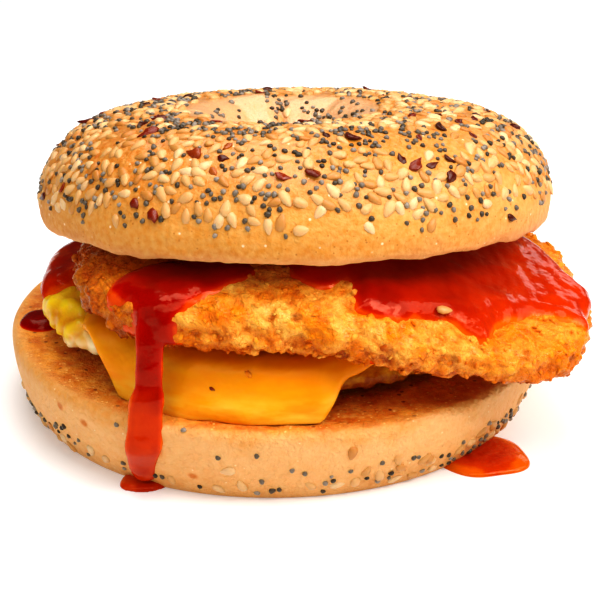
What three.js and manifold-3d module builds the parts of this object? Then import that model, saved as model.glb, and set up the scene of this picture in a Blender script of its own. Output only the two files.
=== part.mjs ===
// A breakfast sandwich on a split seeded bagel. From the bottom up: heel, browned patty,
// folded egg, melted cheese slice, breaded chicken cutlet, hot sauce and the seeded crown.
// Millimetres, +Z up, the side that faces the viewer is -Y. The heel lies flat on z = 0.
import * as THREE from "three";
import { mergeVertices } from "three/addons/utils/BufferGeometryUtils.js";
import Module from "manifold-3d";

const wasm = await Module();
wasm.setup();

// Driving dimensions
const STACK_AT = [0.68, -0.13]; // shifts the stack so that its box is centred on the origin
const GAP = 0.35; // clearance between touching foods

const HEEL = {
  at: [-4.6, 0],
  cutRadius: 53.6,
  footRadius: 48.8,
  height: 15.4,
  cutSlope: -0.012, // rise of the cut face per millimetre of x
  hole: 9,
  holeFlare: 4,
  cornerRound: 1.6,
  columns: 42,
  seeds: 22,
};
const CROWN = {
  at: [-1.0, 2.0, 36.8], // the middle of its cut face
  tiltBack: 10.2, // degrees: the near edge is lifted by the cutlet
  roll: -0.5,
  cutRadius: 49.9,
  wideRadius: 50.6,
  wideHeight: 4.2,
  crestRadius: 19.5,
  crestHeight: 21.7,
  hole: 7,
  holeHeight: 7, // where the hole's wall turns from upright to flared
  holeShift: [-2.2, -3.0], // the hole is off the middle
  shiftFrom: 44, // the radius where the crust starts to follow the hole
  columns: 40,
  seeds: 96,
};
const PATTY = { at: [0, -3], radius: 37.5, low: 15.75, thick: 5.6 };
const EGG = { centre: [-18, -6], middle: 23.4, thin: 3.4, puff: 9.6, droop: 1.2, rise: 0.05 };
const CHEESE = { centre: [-4, -4], thick: 2.3, top: 26.2, reach: 39 };
const CUTLET = {
  centre: [5, -10],
  top: 35.5,
  pitch: 0.18, // rise of the top towards the near side: the crown's tilt
  underCrown: 0.5, // how much further the top rises where the crown rests on it
  droop: 4.2, // fall of the free right end at its far side
  droopNear: 6.6, // how much more it falls at its near side
  thin: 8.6,
  nearThick: 5.2, // extra thickness towards the near side
  pinch: 3.6, // how much thinner it is where it bends over the patty's rim
  crag: 0.8, // height of the breading's crags at the sides
  cragWave: 9, // width of a crag
};
const SAUCE = {
  thick: 1.3,
  onEgg: 1.5,
  onHeel: 2.2,
  pool: 1.7,
  dripWidth: 6.6,
  dripThick: 1.6,
  dripFrom: 30, // the level where the coat on the cutlet ends and the drip begins
};
const SESAME = [1.65, 1.0, 0.62]; // half length, half width, half thickness
const FLAKE = [2.2, 1.5, 0.6];

const COLOUR = {
  heel: 0xdfa25c,
  crown: 0xd99a4e,
  patty: 0x4a2410,
  egg: 0xe8c53a,
  cheese: 0xf39a0c,
  cutlet: 0xc8761f,
  sauce: 0xb41204,
};

const TAU = 2 * Math.PI;
const ABOVE_ALL = 60; // a level over every filling
const UP = new THREE.Vector3(0, 0, 1);
const clamp = (x, low = 0, high = 1) => Math.min(high, Math.max(low, x));
const smooth = (x) => clamp(x) ** 2 * (3 - 2 * clamp(x));
const radians = THREE.MathUtils.degToRad;
const signedPower = (x, power) => Math.sign(x) * Math.abs(x) ** power;
const grown = (half, swell) => half.map((h) => h + swell);

// A repeatable random number from 0 to 1.
function dice(seed) {
  let a = seed;
  return () => {
    a = (a + 0x6d2b79f5) | 0;
    let t = Math.imul(a ^ (a >>> 15), 1 | a);
    t = (t + Math.imul(t ^ (t >>> 7), 61 | t)) ^ t;
    return ((t ^ (t >>> 14)) >>> 0) / 4294967296;
  };
}

// Uneven relief from -1 to 1 with bumps about one wavelength across.
function lumps(x, y, z, wave) {
  const k = TAU / wave;
  const a = Math.sin(k * (x + 0.6 * y) + 1.3 + 1.7 * Math.sin(k * 0.45 * z));
  const b = Math.sin(k * (0.8 * y - 0.5 * x + 0.7 * z) + 4.1);
  const c = Math.sin(k * (1.3 * z + 0.4 * x - 0.9 * y) + 0.4);
  return (a + b + c) / 3;
}

// A smooth closed loop through points, read by a share from 0 to 1.
function loopThrough(points) {
  const vectors = points.map(([x, y]) => new THREE.Vector3(x, y, 0));
  return new THREE.CatmullRomCurve3(vectors, true, "centripetal");
}

// Joins a grid of points into a closed surface. Columns wrap. On a ring the rows wrap too,
// and otherwise the first and last rows are poles.
function closedGrid(rows, columns, point, ring) {
  const positions = [];
  const faces = [];
  const steps = ring ? rows : rows - 1;
  const first = ring ? 0 : 1;
  if (!ring) positions.push(...point(0, 0));
  for (let i = first; i < steps; i++)
    for (let j = 0; j < columns; j++) positions.push(...point(i / steps, j / columns));
  if (!ring) positions.push(...point(1, 0));
  const at = (i, j) => first + ((i - first) % rows) * columns + (j % columns);
  const bands = ring ? rows : rows - 3;
  for (let i = first; i < first + bands; i++)
    for (let j = 0; j < columns; j++) {
      faces.push(at(i, j), at(i + 1, j), at(i + 1, j + 1));
      faces.push(at(i, j), at(i + 1, j + 1), at(i, j + 1));
    }
  if (!ring) {
    const last = positions.length / 3 - 1;
    for (let j = 0; j < columns; j++) {
      faces.push(0, at(1, j), at(1, j + 1));
      faces.push(last, at(rows - 2, j + 1), at(rows - 2, j));
    }
  }
  return { positions, faces };
}

// A solid from points and faces, turned to face outwards.
function solidFrom({ positions, faces }) {
  const make = (triVerts) =>
    new wasm.Manifold(
      new wasm.Mesh({ numProp: 3, vertProperties: new Float32Array(positions), triVerts }),
    );
  const solid = make(new Uint32Array(faces));
  return solid.volume() > 0 ? solid : make(new Uint32Array(faces).reverse());
}

function solidOf(geometry) {
  const bare = geometry.clone();
  bare.deleteAttribute("normal");
  bare.deleteAttribute("uv");
  const merged = mergeVertices(bare, 1e-4);
  return solidFrom({ positions: [...merged.attributes.position.array], faces: [...merged.index.array] });
}

// The largest body of a solid: a cut can leave crumbs.
function mainBody(solid) {
  return solid.decompose().sort((a, b) => b.volume() - a.volume())[0];
}

function without(solid, ...rooms) {
  return mainBody(rooms.reduce((left, room) => left.subtract(room), solid));
}

function geometryOf(solid) {
  const mesh = solid.getMesh();
  const geometry = new THREE.BufferGeometry();
  geometry.setAttribute("position", new THREE.BufferAttribute(new Float32Array(mesh.vertProperties), 3));
  geometry.setIndex(new THREE.BufferAttribute(new Uint32Array(mesh.triVerts), 1));
  geometry.computeVertexNormals();
  return geometry;
}

// A vertical prism over an outline seen from above.
function prismOver(points, low, high) {
  const shape = new THREE.Shape(points.map(([x, y]) => new THREE.Vector2(x, y)));
  const geometry = new THREE.ExtrudeGeometry(shape, { depth: high - low, bevelEnabled: false });
  geometry.translate(0, 0, low);
  return solidOf(geometry);
}

const slab = (low, high) => prismOver([[-90, -90], [90, -90], [90, 90], [-90, 90]], low, high);

// The heel's closed outline in radius and height: up its round side, over the cut face to
// the hole and down the hole. swell pushes every side out.
function heelProfile(swell) {
  const h = HEEL;
  const sideSteps = 6;
  const points = [[h.hole + h.holeFlare - swell, -swell]];
  for (let i = 0; i <= sideSteps; i++) {
    const a = (i / sideSteps) * (Math.PI / 2);
    const reach = h.footRadius + (h.cutRadius - h.footRadius) * Math.sin(a) ** 1.2;
    const rise = (h.height - h.cornerRound) * (1 - Math.cos(a)) ** 0.75;
    points.push([reach + swell, rise - swell * Math.cos(a)]);
  }
  points.push([h.cutRadius - 0.25 * h.cornerRound + swell, h.height - 0.45 * h.cornerRound + swell]);
  points.push([h.cutRadius - h.cornerRound + swell * 0.5, h.height + swell]);
  points.push([h.hole + 1 - swell, h.height + swell]);
  points.push([h.hole - swell, h.height - 1.2]);
  points.push([h.hole + 0.3 * h.holeFlare - swell, h.height * 0.45]);
  return points;
}

// The crown's closed outline over its cut face: the cut edge, the steep side, the broad
// shoulder up to the crest, and down into the hole.
const SHOULDER_FROM = 4; // the profile's place where the shoulder starts
function crownProfile(swell) {
  const c = CROWN;
  const outerSteps = 8;
  const innerSteps = 4;
  const points = [
    [c.hole + 0.9 - swell, -swell],
    [c.cutRadius - 0.8 + swell * 0.5, -swell],
    [c.cutRadius + swell, 0.8 - swell * 0.5],
    [c.wideRadius - 0.3 + swell, c.wideHeight * 0.5],
  ];
  for (let i = 0; i <= outerSteps; i++) {
    const a = (i / outerSteps) * (Math.PI / 2);
    const r = c.crestRadius + (c.wideRadius - c.crestRadius) * Math.cos(a) ** 0.6;
    const z = c.wideHeight + (c.crestHeight - c.wideHeight) * Math.sin(a) ** 1.02;
    points.push([r + swell * Math.cos(a), z + swell * Math.sin(a)]);
  }
  for (let i = 1; i <= innerSteps; i++) {
    const a = (i / innerSteps) * (Math.PI / 2);
    const r = c.crestRadius - (c.crestRadius - c.hole) * Math.sin(a);
    const z = c.holeHeight + (c.crestHeight - c.holeHeight) * Math.cos(a) ** 0.9;
    points.push([r - swell * Math.sin(a), z + swell * Math.cos(a)]);
  }
  return points;
}

// Turns a profile round the z axis. The dough is a little out of round.
function turned(profile, columns) {
  const uneven = 0.004;
  const point = (u, v) => {
    const [r, z] = profile[Math.round(u * profile.length)];
    const a = v * TAU;
    const wobble = 1 + uneven * (Math.sin(2 * a + 0.7) + 0.6 * Math.sin(3 * a + 2.2) + 0.4 * Math.sin(5 * a));
    return [r * wobble * Math.cos(a), r * wobble * Math.sin(a), z];
  };
  return closedGrid(profile.length, columns, point, true);
}

// Where a place in the crown's own frame lies in the stack.
const crownMatrix = new THREE.Matrix4()
  .makeRotationFromEuler(new THREE.Euler(radians(-CROWN.tiltBack), radians(CROWN.roll), 0, "XYZ"))
  .setPosition(...CROWN.at);

// The heel is cut a little aslant, lower at +X.
function heelBody(swell = 0) {
  const solid = solidFrom(turned(heelProfile(swell), HEEL.columns)).warp((p) => {
    p[2] += HEEL.cutSlope * p[0] * clamp(p[2] / HEEL.height);
  });
  return solid.translate([...HEEL.at, 0]);
}

// Moves a place of the crown with its hole: all the way inside the crest, not at all outside.
function withHole(x, y) {
  const c = CROWN;
  const share = smooth((c.shiftFrom - Math.hypot(x, y)) / (c.shiftFrom - c.crestRadius));
  return [x + c.holeShift[0] * share, y + c.holeShift[1] * share];
}

function crownBody(swell = 0) {
  return solidFrom(turned(crownProfile(swell), CROWN.columns)).warp((p) => {
    [p[0], p[1]] = withHole(p[0], p[1]);
  });
}

// One seed, flat on a surface: spun about the surface's normal and half sunk in it.
function seedSolid(half, place, normal, spin) {
  const turn = new THREE.Quaternion().setFromUnitVectors(UP, normal);
  turn.multiply(new THREE.Quaternion().setFromAxisAngle(UP, spin));
  const matrix = new THREE.Matrix4().compose(place, turn, new THREE.Vector3(...half));
  return solidOf(new THREE.IcosahedronGeometry(1, 0).applyMatrix4(matrix));
}

// Points spread evenly by the golden angle over the band that one stretch of a profile
// sweeps. Each point comes with its normal.
function spreadOn(profile, from, to, count, roll) {
  const golden = Math.PI * (3 - Math.sqrt(5));
  const stretch = profile.slice(from, to + 1);
  const areas = [0];
  for (let i = 0; i + 1 < stretch.length; i++) {
    const [[r0, z0], [r1, z1]] = [stretch[i], stretch[i + 1]];
    areas.push(areas[i] + Math.hypot(r1 - r0, z1 - z0) * (r0 + r1));
  }
  return Array.from({ length: count }, (_, k) => {
    const wanted = ((k + 0.5) / count) * areas.at(-1);
    const i = areas.findIndex((a) => a >= wanted) - 1;
    const t = clamp((wanted - areas[i]) / (areas[i + 1] - areas[i]) + 0.2 * (roll() - 0.5));
    const [[r0, z0], [r1, z1]] = [stretch[i], stretch[i + 1]];
    const a = k * golden + 0.35 * (roll() - 0.5);
    const r = r0 + (r1 - r0) * t;
    const side = Math.hypot(r1 - r0, z1 - z0);
    const [nr, nz] = [(z1 - z0) / side, -(r1 - r0) / side];
    return {
      place: new THREE.Vector3(r * Math.cos(a), r * Math.sin(a), z0 + (z1 - z0) * t),
      normal: new THREE.Vector3(nr * Math.cos(a), nr * Math.sin(a), nz),
    };
  });
}

// Sesame lies thick on the shoulder and thins out towards the side; every eleventh piece
// is a chilli flake.
function seededCrown() {
  const roll = dice(11);
  const profile = crownProfile(0);
  const pieces = [crownBody()];
  const spots = spreadOn(profile, SHOULDER_FROM, profile.length - 2, CROWN.seeds, roll);
  for (const [k, spot] of spots.entries()) {
    const low = spot.place.z < CROWN.wideHeight + 4;
    if (low && roll() < 0.6) continue;
    const half = k % 11 === 5 ? FLAKE : SESAME;
    const place = new THREE.Vector3(...withHole(spot.place.x, spot.place.y), spot.place.z);
    pieces.push(seedSolid(half, place, spot.normal, roll() * TAU));
  }
  return wasm.Manifold.union(pieces);
}

function seededHeel(swell = 0) {
  const roll = dice(29);
  const pieces = [heelBody(swell)];
  for (const spot of spreadOn(heelProfile(0), 2, 4, HEEL.seeds, roll)) {
    const place = spot.place.clone().add(new THREE.Vector3(...HEEL.at, 0));
    const spin = roll() * TAU;
    const clearOfFloor = place.z > SESAME[1] + 0.3;
    if (clearOfFloor) pieces.push(seedSolid(grown(SESAME, swell), place, spot.normal, spin));
  }
  return wasm.Manifold.union(pieces);
}

// The browned meat patty: a disc with a craggy rim.
function pattyBody(swell = 0) {
  const p = PATTY;
  const crag = swell ? 0 : 0.012;
  const point = (u, v) => {
    const a = v * TAU;
    const t = u * Math.PI;
    const rough = 1 + crag * (lumps(Math.cos(a) * 40, Math.sin(a) * 40, u * 9, 11) - 1);
    const r = (p.radius + swell) * Math.sin(t) ** 0.45 * rough;
    const z = p.low + p.thick / 2 + (p.thick / 2 + swell) * signedPower(Math.cos(t), 0.5);
    return [p.at[0] + r * Math.cos(a), p.at[1] + r * Math.sin(a), z];
  };
  return solidFrom(closedGrid(9, 36, point, false));
}

// The outline of the folded egg seen from above.
const eggOutline = loopThrough([
  [-50.4, -2], [-49.4, -16], [-44.5, -25.5], [-35, -32.5], [-20, -37], [-4, -37],
  [9, -31], [14, -16], [13, 2], [7, 17], [-8, 24], [-28, 25], [-43.2, 18], [-49.4, 8],
]);

// The egg is pressed thin under the cutlet and puffs up where its left end hangs free.
function eggBody(swell = 0) {
  const e = EGG;
  const point = (u, v) => {
    const rim = eggOutline.getPointAt(v);
    const t = u * Math.PI;
    const share = Math.sin(t) ** 0.5;
    const [dx, dy] = [rim.x - e.centre[0], rim.y - e.centre[1]];
    const [x, y] = [e.centre[0] + dx * share, e.centre[1] + dy * share];
    const free = smooth((-30 - x) / 14); // 1 at the left end
    const half = (e.thin + (e.puff - e.thin) * free) / 2 + swell;
    const level = e.middle - e.droop * free + e.rise * Math.max(0, -32 - x);
    const middle = level + 0.4 * lumps(x, y, 0, 17);
    const out = (swell * share) / Math.hypot(dx, dy);
    return [x + out * dx, y + out * dy, middle + half * signedPower(Math.cos(t), 0.7)];
  };
  return solidFrom(closedGrid(9, 28, point, false));
}

// How the melted slice hangs in one direction: 1 where it runs down to the heel, which is
// at its near left side. Its right end rises fast and then tapers off under the cutlet.
function cheeseHang(a) {
  const degrees = ((a * 360) / TAU + 360) % 360;
  const rightEnd = 0.72 * smooth((degrees - 279) / 9) + 0.28 * smooth((degrees - 286) / 16);
  return smooth((degrees - 217) / 13) * (1 - rightEnd);
}

// The slice's free corner beside the egg: 1 in its direction.
function cheeseCorner(a) {
  const degrees = ((a * 360) / TAU + 360) % 360;
  return Math.exp(-(((degrees - 219) / 9) ** 2));
}

// The slice's path from its centre to its edge in radius and height, mixed between a flat
// slice and one that bends down over the foods below.
function cheesePath(a) {
  const c = CHEESE;
  const hang = cheeseHang(a);
  const corner = cheeseCorner(a);
  const flat = c.reach + 3 * Math.abs(Math.cos(a + 0.3)) + 4.5 * corner;
  const mix = (x, y) => x + (y - x) * hang;
  const left = smooth((-Math.cos(a) - 0.55) / 0.3); // 1 where it follows the egg's slope
  const points = [
    [0, c.top - 0.6],
    [20, c.top],
    [34, c.top + mix(0.1, 0.2) - 0.4 * left + 0.8 * corner],
    [mix(flat - 2.5, 41.4), mix(c.top - 0.1, 24.6) - 1.0 * left + 1.8 * corner],
    [mix(flat - 0.9, 43.9), mix(c.top - 0.5, 20.6) - 1.2 * left + 2.2 * corner],
    [mix(flat, 45.6), mix(c.top - 1.0, 16.3) - 1.4 * left + 2.4 * corner],
  ];
  return new THREE.CatmullRomCurve3(points.map(([r, z]) => new THREE.Vector3(r, 0, z)));
}

// The slice is a skin on both sides of its path, with a thinner rounded edge.
function cheeseBody(swell = 0) {
  const c = CHEESE;
  const columns = 32;
  const paths = Array.from({ length: columns }, (_, j) => cheesePath((j / columns) * TAU));
  const point = (u, v) => {
    const a = v * TAU;
    const path = paths[Math.round(v * columns) % columns];
    const s = 1 - Math.abs(2 * u - 1) ** 1.5;
    const along = path.getPoint(s);
    const slope = path.getTangent(s);
    const side = Math.sign(1 - 2 * u);
    const half = side * ((c.thick / 2) * Math.sqrt(clamp(1 - 0.8 * s ** 12)) + swell);
    const past = side === 0 ? swell + 0.6 : 0;
    const r = along.x - slope.z * half + slope.x * past;
    const z = along.z + slope.x * half + slope.z * past;
    return [c.centre[0] + r * Math.cos(a), c.centre[1] + r * Math.sin(a), z];
  };
  return solidFrom(closedGrid(11, columns, point, false));
}

// The outline of the breaded cutlet seen from above.
const cutletOutline = loopThrough([
  [-42.6, -14], [-41.9, -27], [-38.2, -37], [-31, -43.5], [-18, -48.6], [0, -50.2], [16, -50],
  [29, -47.2], [39, -45.4], [48.8, -40.2], [54.5, -29], [54.7, -12], [51.4, 4], [43.5, 15],
  [31, 24], [12, 31], [-8, 32], [-26, 26], [-38, 14], [-42.2, 0],
]);

// The height of the cutlet's top face. It follows the crown's cut face where the crown
// rests on it, rounds off at the near side, and its right end droops to the heel.
function cutletTop(x, y) {
  const c = CUTLET;
  const droopFrom = 2 + 0.4 * clamp(y + 45, 0, 60);
  const droop = (c.droop + c.droopNear * clamp((5 - y) / 32)) * smooth((x - droopFrom) / 38);
  const roundOff = 0.0057 * Math.max(0, -y - 22) ** 2;
  const under = c.underCrown * smooth((y + 34) / 10);
  return c.top + under - c.pitch * y - roundOff - droop;
}

function cutletThick(x, y) {
  const near = clamp((-y - 5) / 35);
  const bend = Math.exp(-(((x - 33) / 11) ** 2));
  return CUTLET.thin + (CUTLET.nearThick - CUTLET.pinch * bend) * near;
}

// crag is the height of the breading's relief, most of it at the sides and below.
function cutletBody(crag = CUTLET.crag, swell = 0) {
  const c = CUTLET;
  const point = (u, v) => {
    const rim = cutletOutline.getPointAt(v);
    const t = u * Math.PI;
    const share = Math.sin(t) ** 0.55;
    const [dx, dy] = [rim.x - c.centre[0], rim.y - c.centre[1]];
    const [x, y] = [c.centre[0] + dx * share, c.centre[1] + dy * share];
    const half = cutletThick(x, y) / 2;
    const lift = signedPower(Math.cos(t), 0.62);
    const z = cutletTop(x, y) - half + half * lift;
    const fade = 1 - 0.65 * clamp(lift);
    const relief = crag * fade * (lumps(x, y, z, c.cragWave) + 0.6 * lumps(y, z, x, c.cragWave / 2));
    const push = relief + swell;
    const out = (push * Math.sqrt(clamp(1 - lift * lift))) / Math.hypot(dx, dy);
    return [x + out * dx, y + out * dy, z + push * lift];
  };
  return solidFrom(closedGrid(16, 62, point, false));
}

// The sauce on the cutlet seen from above: the left patch, which runs over the near edge,
// and the right patch, which covers the drooping end.
const leftPatch = [
  [-34.9, -39.1], [-33.0, -42.1], [-31.4, -44.5], [-30.5, -50], [-30.2, -56], [-24, -56], [-23.6, -50],
  [-20.4, -46.5], [-14.7, -43], [-8.4, -37.5], [-9, -33], [-14, -31], [-25, -31.5], [-31, -34],
];
const rightPatch = [
  [-2, -36], [0, -40.5], [3.2, -42.6], [6.3, -41.8], [9, -38.6], [10.1, -46.5], [17, -46.2], [21.6, -43.4],
  [26.4, -41.4], [30.8, -42.6], [33.9, -43.4], [36.8, -37.5], [45.2, -30.5], [51, -31], [60, -32],
  [58, -20], [51.5, -8], [46, 2], [37, 9], [24, 2], [12, -12], [-2, -24],
];

// The run of sauce down the near left side: its middle line from the cutlet to the floor.
const dripLine = new THREE.CatmullRomCurve3(
  [
    [-26.7, -44.8, 37.0], [-26.8, -46.3, 34.0], [-26.9, -47.0, 30.6], [-27.1, -47.6, 26.5],
    [-27.3, -48.1, 22.5], [-27.9, -48.8, 18.5], [-28.2, -49.4, 14.0], [-28.6, -49.4, 10.0],
    [-29.1, -48.1, 5.5], [-28.9, -45.8, 1.2],
  ].map((p) => new THREE.Vector3(...p)),
);

function dripBody() {
  const point = (u, v) => {
    const at = dripLine.getPoint(u);
    const slope = dripLine.getTangent(u);
    const end = u === 0 || u === 1 ? 0.01 : 1;
    const wide = (SAUCE.dripWidth / 2) * (0.92 + 0.14 * Math.sin(u * 9 + 1)) * end;
    const a = v * TAU;
    const out = Math.sin(a) * SAUCE.dripThick * end;
    return [at.x + Math.cos(a) * wide, at.y - out * Math.abs(slope.z), at.z + out * slope.y * 0.6];
  };
  return solidFrom(closedGrid(11, 8, point, false));
}

// A pool with a rounded edge, lying on a level.
function poolBody([x, y], [rx, ry], low, high, turn = 0) {
  const point = (u, v) => {
    const a = v * TAU;
    const t = u * Math.PI;
    const share = Math.sin(t) ** 0.6 * (1 + 0.05 * Math.sin(3 * a + 1) + 0.03 * Math.sin(5 * a));
    const flat = new THREE.Vector2(rx * share * Math.cos(a), ry * share * Math.sin(a));
    flat.rotateAround(new THREE.Vector2(), turn);
    const rise = u < 0.5 ? (high - low) * Math.cos(t) ** 0.6 : 0;
    return [x + flat.x, y + flat.y, low + rise];
  };
  return solidFrom(closedGrid(9, 22, point, false));
}

// Each food, and the room that its neighbours leave for it
const crownSolid = seededCrown().transform(crownMatrix.elements);
const crownRoom = crownBody(GAP).transform(crownMatrix.elements);
const heelSolid = seededHeel();
const heelRoom = seededHeel(GAP);
const pattySolid = pattyBody();
const pattyRoom = pattyBody(GAP);
const cutletSolid = without(cutletBody(), heelRoom, pattyRoom, crownRoom);
const cutletRoom = cutletBody(CUTLET.crag, GAP);
const cheeseSolid = without(cheeseBody(), cutletRoom, heelRoom, pattyRoom);
const cheeseRoom = cheeseBody(GAP);
const eggSolid = without(eggBody(), cheeseRoom, cutletRoom, pattyRoom, heelRoom);
const eggRoom = eggBody(GAP);

// A patch of sauce on the cutlet, down to one level. It evens out half of the crags.
function sauceCoat(points, low) {
  const count = 36;
  const outline = loopThrough(points).getSpacedPoints(count).slice(0, count);
  const over = prismOver(outline.map((p) => [p.x, p.y]), low, ABOVE_ALL);
  return cutletBody(CUTLET.crag / 2, GAP + SAUCE.thick).intersect(over);
}

const sauceRooms = [cutletRoom, cheeseRoom, heelRoom, crownRoom, eggRoom];
const leftRun = without(
  wasm.Manifold.union([
    sauceCoat(leftPatch, SAUCE.dripFrom),
    dripBody(),
    poolBody([-29.3, -43.1], [4.6, 3.6], 0, SAUCE.pool),
  ]),
  ...sauceRooms,
);
const leftSauceSolid = mainBody(leftRun.intersect(slab(SAUCE.dripFrom, ABOVE_ALL)));
const dripSolid = mainBody(leftRun.intersect(slab(0, SAUCE.dripFrom - GAP)));
const rightSauceSolid = without(sauceCoat(rightPatch, 25), ...sauceRooms);

const eggSauceOutline = [[-60, -12], [-48, -13], [-42, -10], [-36, -4], [-34, 8], [-40, 20], [-60, 18]];
const eggSauceSolid = without(
  eggBody(SAUCE.onEgg).intersect(prismOver(eggSauceOutline, 24.6, ABOVE_ALL)),
  eggRoom, cutletRoom, cheeseRoom, crownRoom,
);
const heelBlob = poolBody([-51.9, -4.4], [4.8, 5.3], HEEL.height - 3, HEEL.height + SAUCE.onHeel);
const heelBlobSolid = without(heelBlob, heelRoom, eggRoom);
const rightPoolSolid = without(poolBody([35.2, -32.4], [8.7, 8.2], 0, SAUCE.pool, 0.3), heelRoom);

const stack = new THREE.Group();
stack.position.set(...STACK_AT, 0);

function addNode(name, solid, color, roughness) {
  const material = new THREE.MeshStandardMaterial({ color, roughness, metalness: 0 });
  const mesh = new THREE.Mesh(geometryOf(solid), material);
  mesh.name = name;
  stack.add(mesh);
}

addNode("bagel_heel", heelSolid, COLOUR.heel, 0.7);
addNode("browned_patty", pattySolid, COLOUR.patty, 0.6);
addNode("folded_egg", eggSolid, COLOUR.egg, 0.45);
addNode("cheese_slice", cheeseSolid, COLOUR.cheese, 0.35);
addNode("chicken_cutlet", cutletSolid, COLOUR.cutlet, 0.65);
addNode("sauce_left", leftSauceSolid, COLOUR.sauce, 0.15);
addNode("sauce_drip", dripSolid, COLOUR.sauce, 0.15);
addNode("sauce_right", rightSauceSolid, COLOUR.sauce, 0.15);
addNode("sauce_on_egg", eggSauceSolid, COLOUR.sauce, 0.15);
addNode("sauce_on_heel", heelBlobSolid, COLOUR.sauce, 0.15);
addNode("sauce_pool", rightPoolSolid, COLOUR.sauce, 0.15);
addNode("bagel_crown", crownSolid, COLOUR.crown, 0.6);

const sandwich = new THREE.Group();
sandwich.add(stack);

export default sandwich;
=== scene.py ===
# %% [markdown]
# A breakfast sandwich on a seeded bagel, dressed for a studio picture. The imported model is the
# frame: every piece below takes the place of one of its solids, at the same size and in the
# same spot. Shapes are worked out in millimetres with numpy, whole arrays at a time, and turned
# into metres only when they become a mesh.

# %% Load the frame
import itertools
import math
import bpy
import numpy as np
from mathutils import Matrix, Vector


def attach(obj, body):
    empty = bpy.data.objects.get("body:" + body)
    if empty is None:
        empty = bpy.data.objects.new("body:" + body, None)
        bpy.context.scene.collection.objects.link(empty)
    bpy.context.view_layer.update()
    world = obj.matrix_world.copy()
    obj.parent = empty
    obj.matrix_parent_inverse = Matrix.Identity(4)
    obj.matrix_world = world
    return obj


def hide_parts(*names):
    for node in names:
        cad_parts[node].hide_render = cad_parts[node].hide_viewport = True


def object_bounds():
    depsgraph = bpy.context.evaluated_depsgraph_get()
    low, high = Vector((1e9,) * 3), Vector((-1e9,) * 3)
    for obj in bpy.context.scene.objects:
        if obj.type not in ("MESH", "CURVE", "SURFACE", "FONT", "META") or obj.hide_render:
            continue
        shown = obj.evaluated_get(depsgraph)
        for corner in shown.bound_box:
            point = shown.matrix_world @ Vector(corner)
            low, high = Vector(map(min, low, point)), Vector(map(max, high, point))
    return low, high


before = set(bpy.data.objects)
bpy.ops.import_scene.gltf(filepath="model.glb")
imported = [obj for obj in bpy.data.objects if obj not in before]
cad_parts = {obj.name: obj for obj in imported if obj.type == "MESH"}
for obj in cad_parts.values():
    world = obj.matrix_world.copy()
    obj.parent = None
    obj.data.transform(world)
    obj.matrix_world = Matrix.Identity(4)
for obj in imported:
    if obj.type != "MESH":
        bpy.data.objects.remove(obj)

cad_low, cad_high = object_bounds()
MM = 0.001
TAU = 2 * math.pi
STACK_AT = np.array([0.68, -0.13, 0.0])  # where the stack's own zero lies in the frame
box = [round(v / MM, 1) for v in (*cad_low, *cad_high)]
print("frame:", len(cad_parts), "solids, box in mm", box)

# %% [markdown]
# The camera repeats the photograph's view: a long lens 0.4 m away looks down at 23 degrees. A
# look-at is only a rotation about X here, because the view runs straight along +Y.

# %% Camera
VIEW_DOWN = math.radians(23.4)
VIEW_DISTANCE = 400
VIEW_WIDTH = 122.1  # millimetres across the picture at the target
SENSOR = 36
target = STACK_AT + [0, 0, 18.8]
lens = bpy.data.cameras.new("camera")
lens.sensor_width = SENSOR
lens.lens = SENSOR * VIEW_DISTANCE / VIEW_WIDTH
lens.clip_start = 0.01
camera = bpy.data.objects.new("camera", lens)
sight = np.array([0, -math.cos(VIEW_DOWN), math.sin(VIEW_DOWN)])
camera.location = Vector(MM * (target + VIEW_DISTANCE * sight))
camera.rotation_euler = (math.pi / 2 - VIEW_DOWN, 0, 0)
bpy.context.scene.collection.objects.link(camera)
bpy.context.scene.camera = camera
print("camera: lens", round(lens.lens, 1), "mm")

# %% [markdown]
# The picture is a bright table-top shot: white ground, a large soft key light from the upper
# right and one overhead. A broad box low on the right and a long strip above the camera are
# there for their mirror images, the bright bands on every wet near edge. A warm fill comes from
# the left, and two lamps behind draw the rim and the streaks on the sauce. The sky only fills
# the shadows, so it is plain white to the eye, dimmer as a light, and dimmer still where wet
# food mirrors it.

# %% Light
def softbox(name, place, size, power, tint=(1, 1, 1)):
    """A flat lamp at a place in millimetres that faces the middle of the sandwich. size is its
    width and height."""
    lamp = bpy.data.lights.new(name, "AREA")
    lamp.shape = "RECTANGLE"
    lamp.size, lamp.size_y = size[0] * MM, size[1] * MM
    lamp.energy = power
    lamp.color = tint
    holder = bpy.data.objects.new(name, lamp)
    holder.location = Vector(place) * MM
    aim = Vector(target * MM) - holder.location
    holder.rotation_euler = aim.to_track_quat("-Z", "Y").to_euler()
    bpy.context.scene.collection.objects.link(holder)


softbox("key", (300, -180, 440), (240, 240), 0.95, (1, 0.985, 0.96))
softbox("right_band", (335, -95, 300), (420, 250), 0.92, (1, 0.98, 0.95))
softbox("overhead", (-20, -20, 480), (300, 300), 1.45)
softbox("front_strip", (40, -280, 390), (900, 120), 1.1, (1, 0.98, 0.95))
softbox("left_fill", (-400, -250, 190), (300, 300), 0.2, (1, 0.95, 0.88))
softbox("back", (-60, 330, 420), (300, 300), 0.6)
softbox("back_right", (230, 340, 170), (150, 110), 0.09)

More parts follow.
